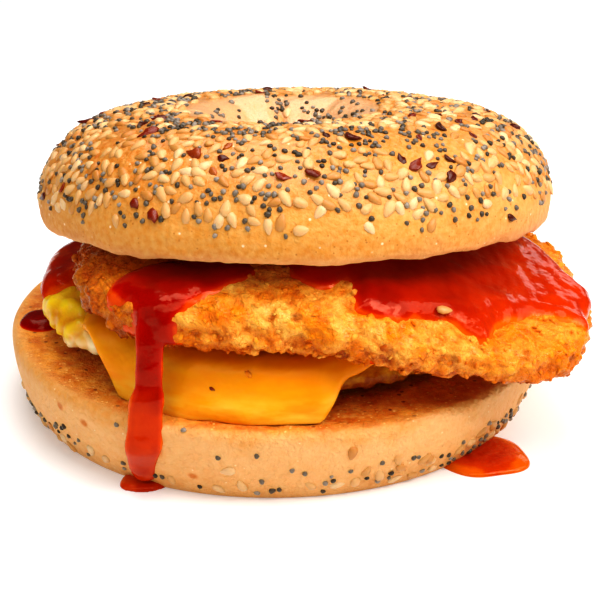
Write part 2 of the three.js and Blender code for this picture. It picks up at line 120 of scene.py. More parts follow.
sky = bpy.data.worlds.new("sky")
sky.use_nodes = True
bpy.context.scene.world = sky
seen = sky.node_tree.nodes["Background"]
seen.inputs["Color"].default_value = (1, 1, 1, 1)
SKY_FILL, SKY_MIRRORED = 0.23, 0.06
path_kind = sky.node_tree.nodes.new("ShaderNodeLightPath")
unseen = sky.node_tree.nodes.new("ShaderNodeMapRange")
unseen.inputs["To Min"].default_value = SKY_FILL
unseen.inputs["To Max"].default_value = SKY_MIRRORED
level = sky.node_tree.nodes.new("ShaderNodeMapRange")
level.inputs["To Max"].default_value = 1.0
sky.node_tree.links.new(path_kind.outputs["Is Glossy Ray"], unseen.inputs["Value"])
sky.node_tree.links.new(unseen.outputs["Result"], level.inputs["To Min"])
sky.node_tree.links.new(path_kind.outputs["Is Camera Ray"], level.inputs["Value"])
sky.node_tree.links.new(level.outputs["Result"], seen.inputs["Strength"])
view = bpy.context.scene.view_settings
view.view_transform = "Standard"
view.gamma = 0.8  # the picture's own contrast: middle tones go down and colours grow richer
view.use_curve_mapping = True
GREEN, BLUE = 1, 2  # dark tones lose a little of both, as in warm food pictures
for channel, bends in {GREEN: ((0.03, 0.024), (0.2, 0.197)), BLUE: ((0.04, 0.025), (0.25, 0.24))}.items():
    for bend in bends:
        view.curve_mapping.curves[channel].points.new(*bend)
view.curve_mapping.update()
print("light: seven softboxes and a white sky")

# %% [markdown]
# Food is never even. All unevenness here comes from three small noises: a soft one, a rough one
# that stacks soft ones of ever finer grain, and a grain noise that gives crumbs.

# %% Noise
def corner_value(i, j, k, seed):
    """A repeatable random number from 0 to 1 for each whole-number corner: the three numbers
    are multiplied by large odd numbers, added, and their bits are folded twice."""
    mixed = (i * 374761393 + j * 668265263 + k * 1442695041 + seed * 974634777) & 0xFFFFFFFF
    mixed = ((mixed ^ (mixed >> 13)) * 1274126177) & 0xFFFFFFFF
    return ((mixed ^ (mixed >> 16)) & 0xFFFFFF) / 0xFFFFFF


def soft_noise(points, wave, seed=0):
    """Smooth noise from -1 to 1. Corner values of cubes of side wave are blended with the ease
    curve 3t^2 - 2t^3 along each axis."""
    scaled = np.asarray(points) / wave
    cell = np.floor(scaled).astype(np.int64)
    t = scaled - cell
    t = t * t * (3 - 2 * t)
    total = 0
    for step in itertools.product((0, 1), repeat=3):
        weight = np.prod([t[..., n] if step[n] else 1 - t[..., n] for n in range(3)], axis=0)
        total = total + weight * corner_value(*(cell[..., n] + step[n] for n in range(3)), seed)
    return 2 * total - 1


def rough_noise(points, wave, octaves=4, seed=0):
    """Soft noises added up, each with half the wave and half the height of the one before."""
    layers = [soft_noise(points, wave / 2**n, seed + n) / 2**n for n in range(octaves)]
    return sum(layers) / (2 - 2.0 ** (1 - octaves))


def grain_noise(points, wave, seed=0):
    """The distance to the nearest of the points strewn one to a cube of side wave, in cubes."""
    scaled = np.asarray(points) / wave
    cell = np.floor(scaled).astype(np.int64)
    nearest = np.full(scaled.shape[:-1], 9.0)
    for step in itertools.product((-1, 0, 1), repeat=3):
        i, j, k = (cell[..., n] + step[n] for n in range(3))
        point = np.stack([corner_value(i, j, k, seed + n) for n in range(3)], axis=-1)
        nearest = np.minimum(nearest, ((cell + step + point - scaled) ** 2).sum(axis=-1))
    return np.sqrt(nearest)


def lumps(x, y, z, wave):
    """The slow bumps that the frame's own solids have: three crossed sine waves."""
    k = TAU / wave
    a = np.sin(k * (x + 0.6 * y) + 1.3 + 1.7 * np.sin(k * 0.45 * z))
    b = np.sin(k * (0.8 * y - 0.5 * x + 0.7 * z) + 4.1)
    c = np.sin(k * (1.3 * z + 0.4 * x - 0.9 * y) + 0.4)
    return (a + b + c) / 3


def ease(x):
    """0 below 0, 1 above 1, and 3x^2 - 2x^3 between."""
    x = np.clip(x, 0, 1)
    return x * x * (3 - 2 * x)


def signed_power(x, power):
    """The size of x to a power, with the sign of x."""
    return np.sign(x) * np.abs(x) ** power


# %% [markdown]
# Nearly every food here is one closed skin on a grid of rows and columns. The columns run
# round it. Its rows either end in two poles, like a ball, or close on themselves, like a ring
# doughnut. The helpers below join such a grid, find its normals and push it in or out.

# %% Grids
def normals_of(grid, ring):
    """Unit normals of a grid: the cross product of its two neighbour differences, turned so
    that the volume that it encloses is positive."""
    along = np.roll(grid, -1, axis=1) - np.roll(grid, 1, axis=1)
    across = np.roll(grid, -1, axis=0) - np.roll(grid, 1, axis=0) if ring else np.gradient(grid, axis=0)
    cross = np.cross(across, along)
    if (cross * (grid - grid.mean(axis=(0, 1)))).sum() < 0:
        cross = -cross
    return cross / np.maximum(np.linalg.norm(cross, axis=-1, keepdims=True), 1e-12)


def pushed(grid, amount, ring):
    """Moves each point of a grid along its normal by its own amount."""
    return grid + normals_of(grid, ring) * np.asarray(amount)[..., None]


def grid_faces(rows, columns, ring):
    """Quads between neighbouring rows and columns, and a fan of triangles at each pole."""
    first = 0 if ring else 1
    inner = rows if ring else rows - 2
    i, j = np.meshgrid(np.arange(inner if ring else inner - 1), np.arange(columns), indexing="ij")
    here = first + i * columns + j
    right = first + i * columns + (j + 1) % columns
    below = first + (i + 1) % inner * columns + j
    below_right = first + (i + 1) % inner * columns + (j + 1) % columns
    faces = np.stack([here, below, below_right, right], axis=-1).reshape(-1, 4).tolist()
    if not ring:
        last = 1 + inner * columns
        around = np.arange(columns)
        after = (around + 1) % columns
        edge = 1 + (inner - 1) * columns
        faces += np.stack([np.zeros_like(around), 1 + around, 1 + after], axis=-1).tolist()
        faces += np.stack([np.full_like(around, last), edge + after, edge + around], axis=-1).tolist()
    return faces


def flat_list(grid, ring):
    """A grid's values in the order of grid_faces: one value at each pole."""
    grid = np.asarray(grid, dtype=float)
    wide = grid.reshape(grid.shape[0], grid.shape[1], -1)
    if ring:
        return wide.reshape(-1, wide.shape[-1])
    poles = wide[[0, -1]].mean(axis=1)
    return np.concatenate([poles[:1], wide[1:-1].reshape(-1, wide.shape[-1]), poles[1:]])


def make_piece(name, points, faces, marks, slot, node=None):
    """A mesh object from points in the stack's millimetres. It rides on the one body, stands
    for the named node or nodes, and carries each mark as a number on every point."""
    mesh = bpy.data.meshes.new(name)
    mesh.from_pydata(((points + STACK_AT) * MM).tolist(), [], faces)
    mesh.polygons.foreach_set("use_smooth", np.ones(len(mesh.polygons), dtype=bool))
    for mark, values in marks.items():
        numbers = np.ravel(values).astype(np.float32)
        mesh.attributes.new(mark, "FLOAT", "POINT").data.foreach_set("value", numbers)
    piece = bpy.data.objects.new(name, mesh)
    bpy.context.scene.collection.objects.link(piece)
    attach(piece, "root")
    if node:
        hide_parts(*([node] if isinstance(node, str) else node))
    print(f"{name}: {len(mesh.vertices)} points, {len(mesh.loops) - 2 * len(mesh.polygons)} triangles")
    return piece


def closed_skin(grid, ring=False):
    """A grid as points and faces, with the faces turned outwards."""
    points, faces = flat_list(grid, ring), grid_faces(*grid.shape[:2], ring)
    return points, faces if signed_volume(points, faces) > 0 else [face[::-1] for face in faces]


def grid_piece(name, grid, marks, slot, node, ring=False):
    """make_piece for a grid of points; marks are grids of numbers of the same shape."""
    flat_marks = {mark: flat_list(values, ring) for mark, values in marks.items()}
    return make_piece(name, *closed_skin(grid, ring), flat_marks, slot, node)


def signed_volume(points, faces):
    """Six times the volume inside the faces: the sum of a . (b x c) over triangle fans."""
    quads = np.array([face if len(face) == 4 else [*face, face[0]] for face in faces])
    a, b, c, d = (points[quads[:, n]] for n in range(4))
    return (a * np.cross(b, c)).sum() + (a * np.cross(c, d)).sum()


# %% [markdown]
# Outlines seen from above are loops through a few points. The curve between two points is a
# cubic whose end slopes come from the neighbours, spaced by the square root of their distance,
# so it neither bulges nor makes loops. It is the same curve as in the frame's own solids.

# %% Curves
def walked(path):
    """How far along a path each of its points lies."""
    return np.concatenate([[0], np.cumsum(np.linalg.norm(np.diff(path, axis=0), axis=1))])


def along_path(path, count, endpoint=False):
    """count places spread evenly along a path of straight bits, with or without its last place."""
    path = np.asarray(path, dtype=float)
    length = walked(path)
    wanted = np.linspace(0, length[-1], count, endpoint=endpoint)
    return np.stack([np.interp(wanted, length, column) for column in path.T], axis=1)


def loop_through(points, count, closed=True):
    """count evenly spaced places on a smooth curve through the points."""
    p = np.asarray(points, dtype=float)
    if closed:
        before, start, end, after = np.roll(p, 1, 0), p, np.roll(p, -1, 0), np.roll(p, -2, 0)
    else:
        p = np.vstack([2 * p[0] - p[1], p, 2 * p[-1] - p[-2]])
        before, start, end, after = p[:-3], p[1:-2], p[2:-1], p[3:]
    gap = [np.sqrt(np.linalg.norm(b - a, axis=1))[:, None]
           for a, b in ((before, start), (start, end), (end, after))]
    leave = (start - before) / gap[0] - (end - before) / (gap[0] + gap[1]) + (end - start) / gap[1]
    reach = (end - start) / gap[1] - (after - start) / (gap[1] + gap[2]) + (after - end) / gap[2]
    leave, reach = leave * gap[1], reach * gap[1]
    t = np.linspace(0, 1, 40, endpoint=False)[None, :, None]
    s, e, m, n = (v[:, None, :] for v in (start, end, leave, reach))
    path = s + m * t + (3 * (e - s) - 2 * m - n) * t**2 + (2 * (s - e) + m + n) * t**3
    path = np.vstack([path.reshape(-1, p.shape[1]), p[:1] if closed else p[-2:-1]])
    return along_path(path, count, endpoint=not closed)


def depth_inside(x, y, outline):
    """How far a place seen from above lies inside an outline, negative outside: the distance
    to the nearest side, with its sign from the number of sides that a ray crosses."""
    a, b = outline, np.roll(outline, -1, 0)
    side = b - a
    flat_x, flat_y = np.ravel(x), np.ravel(y)
    nearest = np.full(flat_x.shape, 1e9)
    crossings = np.zeros(flat_x.shape, dtype=int)
    for (ax, ay), by, (sx, sy) in zip(a, b[:, 1], side):
        t = np.clip(((flat_x - ax) * sx + (flat_y - ay) * sy) / (sx * sx + sy * sy), 0, 1)
        nearest = np.minimum(nearest, np.hypot(flat_x - ax - sx * t, flat_y - ay - sy * t))
        spans = (ay > flat_y) != (by > flat_y)
        crossings += spans & (flat_x < ax + (flat_y - ay) * sx / (sy if sy else 1e-9))
    return (nearest * np.where(crossings % 2, 1, -1)).reshape(np.shape(x))


# %% [markdown]
# A finish is a small network of nodes: patterns, sums and mixes of colours that end in one
# Principled shader. Wired by hand it takes a page, so a class holds one network and has a short
# method for each kind of node that this food needs.

# %% Nodes
def srgb(red, green, blue):
    """A colour given as it looks on screen, 0 to 255, as the light values that a node wants."""
    share = np.array([red, green, blue]) / 255
    light = np.where(share <= 0.04045, share / 12.92, ((share + 0.055) / 1.055) ** 2.4)
    return (*light.tolist(), 1.0)


class Nodes:
    """The nodes of a material or of a group. Each method adds one and returns its output. place
    is the position that its patterns are laid out by."""

    def __init__(self, tree, place):
        self.tree, self.place = tree, place

    def feed(self, socket, value):
        """Links a socket to another node's output, or sets it to a plain value."""
        if isinstance(value, bpy.types.NodeSocket):
            self.tree.links.new(value, socket)
        else:
            socket.default_value = value

    def add(self, kind, inputs=None, **settings):
        """A new node with its settings, and its input sockets set by name or number."""
        made = self.tree.nodes.new(kind)
        for name, value in settings.items():
            setattr(made, name, value)
        for name, value in (inputs or {}).items():
            self.feed(made.inputs[name], value)
        return made

    def math(self, operation, *values):
        """One step of arithmetic on one or two values."""
        return self.add("ShaderNodeMath", dict(enumerate(values)), operation=operation).outputs[0]

    def mix(self, factor, first, second, mode="MIX"):
        """Two colours mixed by a factor."""
        colours = {0: factor, 6: first, 7: second}
        return self.add("ShaderNodeMix", colours, data_type="RGBA", blend_type=mode).outputs[2]

    def layered(self, colour, *layers):
        """A colour with others laid over it in turn, each given as a mask, the share of the mask
        that counts, and red, green and blue as they look on screen."""
        for mask, share, *over in layers:
            factor = mask if share == 1 else self.remap(mask, 0, 1, 0, share)
            colour = self.mix(factor, colour, srgb(*over))
        return colour

    def ramp(self, factor, *stops):
        """A colour ramp through stops of place, red, green and blue as they look on screen."""
        made = self.add("ShaderNodeValToRGB", {"Fac": factor})
        while len(made.color_ramp.elements) < len(stops):
            made.color_ramp.elements.new(0.5)
        for element, (place, *colour) in zip(made.color_ramp.elements, stops):
            element.position = place
            element.color = srgb(*colour)
        return made.outputs["Color"]

    def remap(self, value, low, high, to_low=0.0, to_high=1.0):
        """A value stretched from one range to another and kept inside it."""
        ends = {"Value": value, "From Min": low, "From Max": high, "To Min": to_low, "To Max": to_high}
        return self.add("ShaderNodeMapRange", ends).outputs["Result"]

    def noise(self, size, detail):
        """Cloudy noise from 0 to 1 whose clouds are about size metres wide."""
        scale = self.math("DIVIDE", 1.0, size)
        looks = {"Vector": self.place, "Scale": scale, "Detail": detail}
        return self.add("ShaderNodeTexNoise", looks).outputs["Fac"]

    def mark(self, name):
        """A number that the mesh carries on its points."""
        return self.add("ShaderNodeAttribute", attribute_name=name).outputs["Fac"]

    def along_x(self):
        """How far to the right a place lies."""
        return self.add("ShaderNodeSeparateXYZ", {"Vector": self.place}).outputs["X"]

    def use(self, group, place=None, **inputs):
        """A group's node, laid out by place. An input's underscores stand for spaces."""
        made = self.add("ShaderNodeGroup", node_tree=group)
        self.feed(made.inputs["Vector"], self.place if place is None else place)
        for name, value in inputs.items():
            self.feed(made.inputs[name.replace("_", " ")], value)
        return made.outputs[0]

    def mottle(self, size, edge, place=None):
        """A mask of patches; edge is the share of the noise's range over which they fade."""
        return self.use(MOTTLE, place, Size=size, Edge=edge)

    def freckles(self, spacing, radius, share):
        """A mask of round spots in a share of the cells."""
        return self.use(FRECKLES, Spacing=spacing, Radius=radius, Share=share)

    def grain(self, fine, fine_height, coarse, coarse_height):
        """A normal roughened by fine and coarse noise."""
        return self.use(GRAIN, Fine_Size=fine, Fine_Height=fine_height,
                        Coarse_Size=coarse, Coarse_Height=coarse_height)


# %% [markdown]
# A material is such a network with a shader at its end. What is the same all over a piece is
# set on the shader itself, and only what changes from place to place is wired to it.

# %% Finishes
class Finish(Nodes):
    """A material with a plain Principled shader. Constant values are set on the shader's own
    sockets, by name with underscores for spaces, and patterns read object coordinates."""

    def __init__(self, name, **shader):
        self.material = bpy.data.materials.new(name)
        self.material.use_nodes = True
        tree = self.material.node_tree
        super().__init__(tree, tree.nodes.new("ShaderNodeTexCoord").outputs["Object"])
        self.set(**shader)

    def set(self, **inputs):
        """Sets or feeds the shader's sockets."""
        bsdf = self.tree.nodes["Principled BSDF"]
        for name, value in inputs.items():
            self.feed(bsdf.inputs[name.replace("_", " ")], value)

    def dress(self, *pieces):
        """Gives the finish to some pieces."""
        for piece in pieces:
            piece.data.materials.append(self.material)


# %% [markdown]
# Materials share a few effects, and each effect is a node group that is built once: mottling
# between two colours, small round freckles, and a fine grain for the bump. The groups read
# the object's own coordinates in metres, so their sizes are real sizes.

# %% Shared effects
SOCKET_KINDS = {"Vector": "Vector", "Normal": "Vector", "Color": "Color"}  # every other is a number


def new_group(name, inputs, output):
    """An empty node group with a Vector and other named inputs and one output. Returns its
    nodes, what it is given by name, and the socket that takes its result."""
    tree = bpy.data.node_groups.new(name, "ShaderNodeTree")
    for title, way in (*((title, "INPUT") for title in ("Vector", *inputs)), (output, "OUTPUT")):
        kind = SOCKET_KINDS.get(title, "Float")
        tree.interface.new_socket(title, in_out=way, socket_type=f"NodeSocket{kind}")
    given, result = tree.nodes.new("NodeGroupInput"), tree.nodes.new("NodeGroupOutput")
    return Nodes(tree, given.outputs["Vector"]), given.outputs, result.inputs[output]


def build_mottle():
    """Noise with its middle stretched, so that patches have a fairly clear edge."""
    nodes, given, result = new_group("mottle", ("Size", "Edge"), "Mask")
    low, high = (nodes.math(way, 0.5, given["Edge"]) for way in ("SUBTRACT", "ADD"))
    nodes.feed(result, nodes.remap(nodes.noise(given["Size"], 4.0), low, high))
    return nodes.tree


def build_freckles():
    """Round spots, one to a cell of side Spacing, that fade out at Radius. Only some cells
    have one: the cell's random colour decides."""
    nodes, given, result = new_group("freckles", ("Spacing", "Radius", "Share"), "Mask")
    scale = nodes.math("DIVIDE", 1.0, given["Spacing"])
    cells = nodes.add("ShaderNodeTexVoronoi", {"Vector": nodes.place, "Scale": scale}).outputs
    reach = nodes.math("DIVIDE", given["Radius"], given["Spacing"])
    inside = nodes.remap(cells["Distance"], reach, nodes.math("MULTIPLY", reach, 0.5))
    chosen = nodes.add("ShaderNodeSeparateColor", {"Color": cells["Color"]}).outputs[0]
    kept = nodes.math("LESS_THAN", chosen, given["Share"])
    nodes.feed(result, nodes.math("MULTIPLY", inside, kept))
    return nodes.tree


def build_grain():
    """A bump made of fine noise and, under it, coarser noise, each with its height in metres."""
    titles = ("Fine Size", "Fine Height", "Coarse Size", "Coarse Height")
    nodes, given, result = new_group("grain", titles, "Normal")
    fine, coarse = (nodes.math("MULTIPLY", nodes.noise(given[size], 3.0), given[high])
                    for size, high in (titles[:2], titles[2:]))
    height = nodes.math("ADD", fine, coarse)
    bump = nodes.add("ShaderNodeBump", {"Height": height, "Distance": 1.0, "Strength": 1.0})
    nodes.feed(result, bump.outputs["Normal"])
    return nodes.tree


MOTTLE, FRECKLES, GRAIN = build_mottle(), build_freckles(), build_grain()
print("shader groups:", [group.name for group in (MOTTLE, FRECKLES, GRAIN)])

# %% [markdown]
# The ground is a plain matt sheet, large enough to have no edge in view. It is nearly white and
# lit a little from below, as a light table is, so that only a faint soft shadow shows.

# %% Floor
FLOOR_HALF, FLOOR_GLOW = 3000, 0.26
ground = bpy.data.meshes.new("floor")
far = FLOOR_HALF * MM
ground.from_pydata([(-far, -far, 0), (far, -far, 0), (far, far, 0), (-far, far, 0)], [], [(0, 1, 2, 3)])
floor = bpy.data.objects.new("floor", ground)
bpy.context.scene.collection.objects.link(floor)
paper = Finish("floor_white", Roughness=0.9, Specular_IOR_Level=0.1,
               Emission_Color=(1, 1, 1, 1), Emission_Strength=FLOOR_GLOW)
paper.set(Base_Color=paper.mix(paper.mottle(0.4, 0.4), (0.76, 0.76, 0.765, 1), (0.78, 0.78, 0.785, 1)))
paper.dress(floor)

# %% [markdown]
# The top half of the bagel is a ring of dough that was cut flat below. Its outline in radius and
# height is a closed loop: the cut edge, the steep side, the broad shoulder up to the crest, and
# down into the hole. Turning a loop about the middle gives a ring grid with no poles, so the
# texture of the crust is even all over.

# %% Crown shape
CROWN_AT = np.array([-1.0, 2.0, 36.8])
CROWN_BACK, CROWN_ROLL = math.radians(-10.2), math.radians(-0.5)
CUT_RADIUS, WIDE_RADIUS, WIDE_HEIGHT = 49.9, 50.6, 4.2
CREST_RADIUS, CREST_HEIGHT, HOLE_RADIUS, HOLE_HEIGHT = 19.5, 21.7, 7, 7
HOLE_SHIFT, SHIFT_FROM = np.array([-2.2, -3.0]), 44  # the hole is off the middle
CROWN_COLUMNS = 420


def crown_stretches():
    """The crown's outline as three stretches of (radius, height): the outside, where both
    grow with powers of cosine and sine, the inside, and the cut face."""
    a = np.linspace(0, math.pi / 2, 80)
    shoulder = np.stack([CREST_RADIUS + (WIDE_RADIUS - CREST_RADIUS) * np.cos(a) ** 0.6,
                         WIDE_HEIGHT + (CREST_HEIGHT - WIDE_HEIGHT) * np.sin(a) ** 1.02], axis=1)
    shoulder[-1] = CREST_RADIUS, CREST_HEIGHT
    foot = [[CUT_RADIUS - 0.8, 0], [CUT_RADIUS, 0.8], [WIDE_RADIUS - 0.3, WIDE_HEIGHT / 2]]
    inside = np.stack([CREST_RADIUS - (CREST_RADIUS - HOLE_RADIUS) * np.sin(a),
                       HOLE_HEIGHT + (CREST_HEIGHT - HOLE_HEIGHT) * np.cos(a) ** 0.9], axis=1)
    inside = np.vstack([inside, [[HOLE_RADIUS + 0.9, 0]]])
    return np.vstack([foot, shoulder]), inside, np.array([inside[-1], foot[0]])


def turned(profile, columns):
    """Turns a loop of (radius, height) about the z axis. The radius swells and shrinks by a
    few thousandths, because dough is never quite round."""
    a = np.linspace(0, TAU, columns, endpoint=False)
    uneven = 1 + 0.004 * (np.sin(2 * a + 0.7) + 0.6 * np.sin(3 * a + 2.2) + 0.4 * np.sin(5 * a))
    r = profile[:, :1] * uneven
    return np.stack([r * np.cos(a), r * np.sin(a), np.repeat(profile[:, 1:], columns, axis=1)], axis=-1)


def with_hole(grid):
    """Moves the crown's points with its hole: all the way inside the crest, and eased to
    nothing at the radius SHIFT_FROM."""
    radius = np.hypot(grid[..., 0], grid[..., 1])
    share = ease((SHIFT_FROM - radius) / (SHIFT_FROM - CREST_RADIUS))
    return grid + np.append(HOLE_SHIFT, 0) * share[..., None]


def onto_sandwich(points):
    """Tilts the crown back and a little aside, and lifts it to its place in the stack."""
    (cb, sb), (cr, sr) = ((math.cos(v), math.sin(v)) for v in (CROWN_BACK, CROWN_ROLL))
    back, roll = [[1, 0, 0], [0, cb, -sb], [0, sb, cb]], [[cr, 0, sr], [0, 1, 0], [-sr, 0, cr]]
    return points @ (np.array(back) @ np.array(roll)).T + CROWN_AT


OUTSIDE_ROWS, INSIDE_ROWS, UNDER_ROWS = 104, 42, 20
crown_rows = [along_path(path, rows) for path, rows in
              zip(crown_stretches(), (OUTSIDE_ROWS, INSIDE_ROWS, UNDER_ROWS))]
crown_smooth = with_hole(turned(np.vstack(crown_rows), CROWN_COLUMNS))
print("crown grid:", crown_smooth.shape, "height", crown_smooth[..., 2].max())

# %% [markdown]
# A baked crust has slow hills where the dough swelled, fine wrinkles where it dried, a torn lip
# where the knife went through, and folds in the wall of the hole. Each is a noise or a few bell
# curves that push the grid along its normals.

# %% Crown crust
row_number = np.repeat(np.arange(crown_smooth.shape[0])[:, None], CROWN_COLUMNS, axis=1)
height = crown_smooth[..., 2]
around = np.degrees(np.arctan2(crown_smooth[..., 1] - HOLE_SHIFT[1], crown_smooth[..., 0] - HOLE_SHIFT[0]))
in_hole = ease((row_number - OUTSIDE_ROWS + 2) / 6) * (row_number < OUTSIDE_ROWS + INSIDE_ROWS)
under = (row_number >= OUTSIDE_ROWS + INSIDE_ROWS).astype(float)
near_lip = np.exp(-((height / 1.1) ** 2)) * (np.hypot(crown_smooth[..., 0], crown_smooth[..., 1]) > 40)


def fold(middle, width):
    """A bell curve round the hole, centred on one direction in degrees."""
    return np.exp(-(((around - middle) / width) ** 2))


hills = 0.42 * soft_noise(crown_smooth, 15, 3) + 0.16 * soft_noise(crown_smooth, 6, 4)
wrinkles = 0.1 * rough_noise(crown_smooth * [1, 1, 1.6], 2.4, 3, 9)
torn_lip = near_lip * 0.55 * rough_noise(crown_smooth * [1, 1, 2], 4.5, 4, 14)
hole_folds = in_hole * (0.9 * fold(92, 5) + 0.6 * fold(52, 7) + 0.5 * fold(128, 6) - 0.8 * fold(105, 12))
from_hole = np.hypot(crown_smooth[..., 0] - HOLE_SHIFT[0], crown_smooth[..., 1] - HOLE_SHIFT[1])
dipped_lip = -0.2 * fold(-90, 62) * np.exp(-(((from_hole - CREST_RADIUS + 1) / 8) ** 2)) * (height > 12)
far_rim = 0.7 * fold(90, 75) * np.exp(-(((from_hole - CREST_RADIUS - 2) / 8) ** 2)) * (height > 12)
settled = -0.22 * ease((height / CREST_HEIGHT - 0.2) / 0.42)
cut_pits = 0.12 * under * rough_noise(crown_smooth, 5, 4, 5)
relief = (hills + wrinkles + settled + dipped_lip + far_rim) * (1 - 0.8 * under)
crown_grid = pushed(crown_smooth, relief - hole_folds + torn_lip + cut_pits, ring=True)
crown_normals = normals_of(crown_grid, ring=True)
crown_marks = {"height": height / CREST_HEIGHT, "hole": in_hole, "cut": under, "lip": near_lip}
crown = grid_piece("crown_crust", onto_sandwich(crown_grid), crown_marks,
                   "crown_crust", "bagel_crown", ring=True)

# %% [markdown]
# Baked crust is pale at the side, where the pan and the steam kept it cool, and golden and shiny at the
# top. In the hole, which little heat reached, it is pale too. One ramp follows the height, and mottling,
# freckles and a fine fuzzy bump are laid over it. The left side is painted darker as painted shade, and the
# right side paler as painted light from the lamps on the right.

# %% Crown crust finish
crust = Finish("baked_crust", Subsurface_Weight=0.08, Subsurface_Scale=0.002, Coat_Roughness=0.2)
rise, along = crust.mark("height"), crust.along_x()
patches, specks = crust.mottle(0.011, 0.16), crust.mottle(0.0011, 0.2)
baked = crust.ramp(
    crust.math("ADD", rise, crust.remap(patches, 0, 1, -0.12, 0.12)),
    (0.0, 208, 126, 40), (0.12, 220, 146, 50), (0.38, 226, 158, 70),
    (0.62, 216, 138, 44), (1.0, 204, 118, 28))
shoulder = crust.remap(rise, 0.25, 0.55, 0.35, 1)
left_shade = crust.math("MULTIPLY", crust.remap(along, -0.012, -0.05), shoulder)
baked = crust.mix(left_shade, baked, (0.8, 0.58, 0.42, 1), "MULTIPLY")  # painted shade: the left side, away from the lamps, is darkened
browned = crust.layered(
    baked,
    (crust.remap(along, 0.01, 0.05, 0, 0.4), 1, 236, 176, 116),  # painted light: the right side, towards the lamps, is lightened
    (patches, 0.55, 214, 122, 10),
    (specks, 0.42, 238, 196, 124),
    (crust.freckles(0.0011, 0.00024, 0.35), 1, 196, 120, 40),
    (crust.freckles(0.0019, 0.00032, 0.3), 1, 250, 222, 182),
    (crust.freckles(0.0062, 0.0008, 0.25), 1, 196, 106, 30),
    (crust.mark("hole"), 1, 228, 174, 124))
crumb_side = crust.mix(specks, srgb(176, 98, 40), srgb(222, 158, 92))
cut_side = crust.mix(crust.mark("cut"), browned, crumb_side)
crust.set(Base_Color=crust.layered(cut_side, (crust.mark("lip"), 0.45, 238, 190, 140)),
          Roughness=crust.remap(rise, 0.35, 0.8, 0.62, 0.34),
          Coat_Weight=crust.remap(rise, 0.4, 0.8, 0.0, 0.4),
          Normal=crust.grain(0.0005, 0.00016, 0.0018, 0.00045))
crust.dress(crown)

# %% [markdown]
# Seeds are what the eye meets first. Each kind is one mesh: a small closed shape is repeated
# at hundreds of places, turned to lie on the crust, and half sunk in it. The places are drawn
# at random and kept only where no seed lies yet, which looks like strewing by hand.

# %% Strewing
TRIES = 6  # places drawn for each one that is wanted


def strewn(grid, normals, chance, count, gap, taken, rng):
    """Places on a grid: cells drawn by area times chance, each a random mix of its four
    corners, and kept when nothing taken lies closer than the sum of the two gaps. taken is a
    list of arrays (x, y, z, gap) and grows by the new places."""
    corners = [grid, np.roll(grid, -1, 0), np.roll(grid, (-1, -1), (0, 1)), np.roll(grid, -1, 1)]
    area = np.linalg.norm(np.cross(corners[2] - corners[0], corners[3] - corners[1]), axis=-1)
    weight = (area * chance).ravel()
    drawn = rng.choice(weight.size, size=count * TRIES, p=weight / weight.sum())
    u, v = rng.random((2, count * TRIES, 1))
    shares = (1 - u) * (1 - v), u * (1 - v), u * v, (1 - u) * v
    spots = sum(corner.reshape(-1, 3)[drawn] * share for corner, share in zip(corners, shares))
    kept = []
    near = np.vstack(taken) if taken else np.zeros((0, 4))
    room = np.full((len(near) + count, 4), 1e6)
    room[: len(near)] = near
    used = len(near)
    for number, spot in enumerate(spots):
        if (((room[:used, :3] - spot) ** 2).sum(axis=1) > (room[:used, 3] + gap) ** 2).all():
            kept.append(number)
            room[used] = *spot, gap
            used += 1
            if len(kept) == count:
                break
    taken.append(room[len(near):used])
    return spots[kept], normals.reshape(-1, 3)[drawn][kept]


def closest(grid, places):
    """The numbers of the grid points that lie closest to some places."""
    flat = grid.reshape(-1, 3)
    return [((flat - place) ** 2).sum(axis=1).argmin() for place in np.asarray(places, dtype=float)]


def small_shape(columns, rows, form):
    """A closed little shape: form gives (x, y, z) for the angle from pole to pole and the
    angle round. Returns its points and its faces."""
    t = np.linspace(0, math.pi, rows + 2)[:, None]
    a = np.linspace(0, TAU, columns, endpoint=False)[None, :]
    return closed_skin(np.stack(np.broadcast_arrays(*form(t, a)), axis=-1))


def scatter(name, shape, spots, normals, sizes, rng, sink, lean, slot, where=np.asarray):
    """One mesh of a shape repeated at the spots. Each copy has its own size, spin about the
    normal and tone, and remembers how far up its spot faced. sink is how deep its middle lies
    under the surface, in its own height, and where moves the whole to its place."""
    points, faces = shape
    count = len(spots)
    facing = normals[:, 2].copy()
    normals = normals + lean * rng.normal(size=(count, 3))
    normals /= np.linalg.norm(normals, axis=1, keepdims=True)
    side = np.cross(normals, rng.normal(size=(count, 3)))
    side /= np.linalg.norm(side, axis=1, keepdims=True)
    axes = np.stack([side, np.cross(normals, side), normals], axis=1)
    body = points[None] * sizes[:, None, :]
    placed = np.einsum("npk,nkx->npx", body, axes) + (spots - normals * sizes[:, 2:] * sink)[:, None, :]
    start = np.arange(count) * len(points)
    loops = [[corner + first for corner in face] for first in start.tolist() for face in faces]
    marks = {"tone": np.repeat(rng.random(count), len(points)), "up": np.repeat(facing, len(points))}
    return make_piece(name, where(placed.reshape(-1, 3)), loops, marks, slot)


def sizes_around(mean, spread, count, rng):
    """Sizes that vary by a share of their mean, the three sides mostly together."""
    together = 1 + spread * rng.uniform(-1, 1, (count, 1))
    return np.asarray(mean) * together * (1 + 0.4 * spread * rng.uniform(-1, 1, (count, 3)))


def sown(name, kind, skin, chance, count, gap, taken, rng, sink, lean, slot, where=np.asarray):
    """Strews one kind of bit, given as shape, mean size and spread, over a skin of places and
    normals."""
    shape, mean, spread = kind
    spots, leans = strewn(*skin, chance, count, gap, taken, rng)
    return scatter(name, shape, spots, leans, sizes_around(mean, spread, len(spots), rng), rng,
                   sink, lean, slot, where)


def teardrop(t, a):
    """A sesame seed: a flattened ball with one narrow end."""
    narrow = 1 - 0.38 * np.cos(t) - 0.06 * np.cos(t) ** 2
    return np.cos(t) + 0 * a, np.sin(t) * np.cos(a) * narrow, np.sin(t) * np.sin(a) * narrow


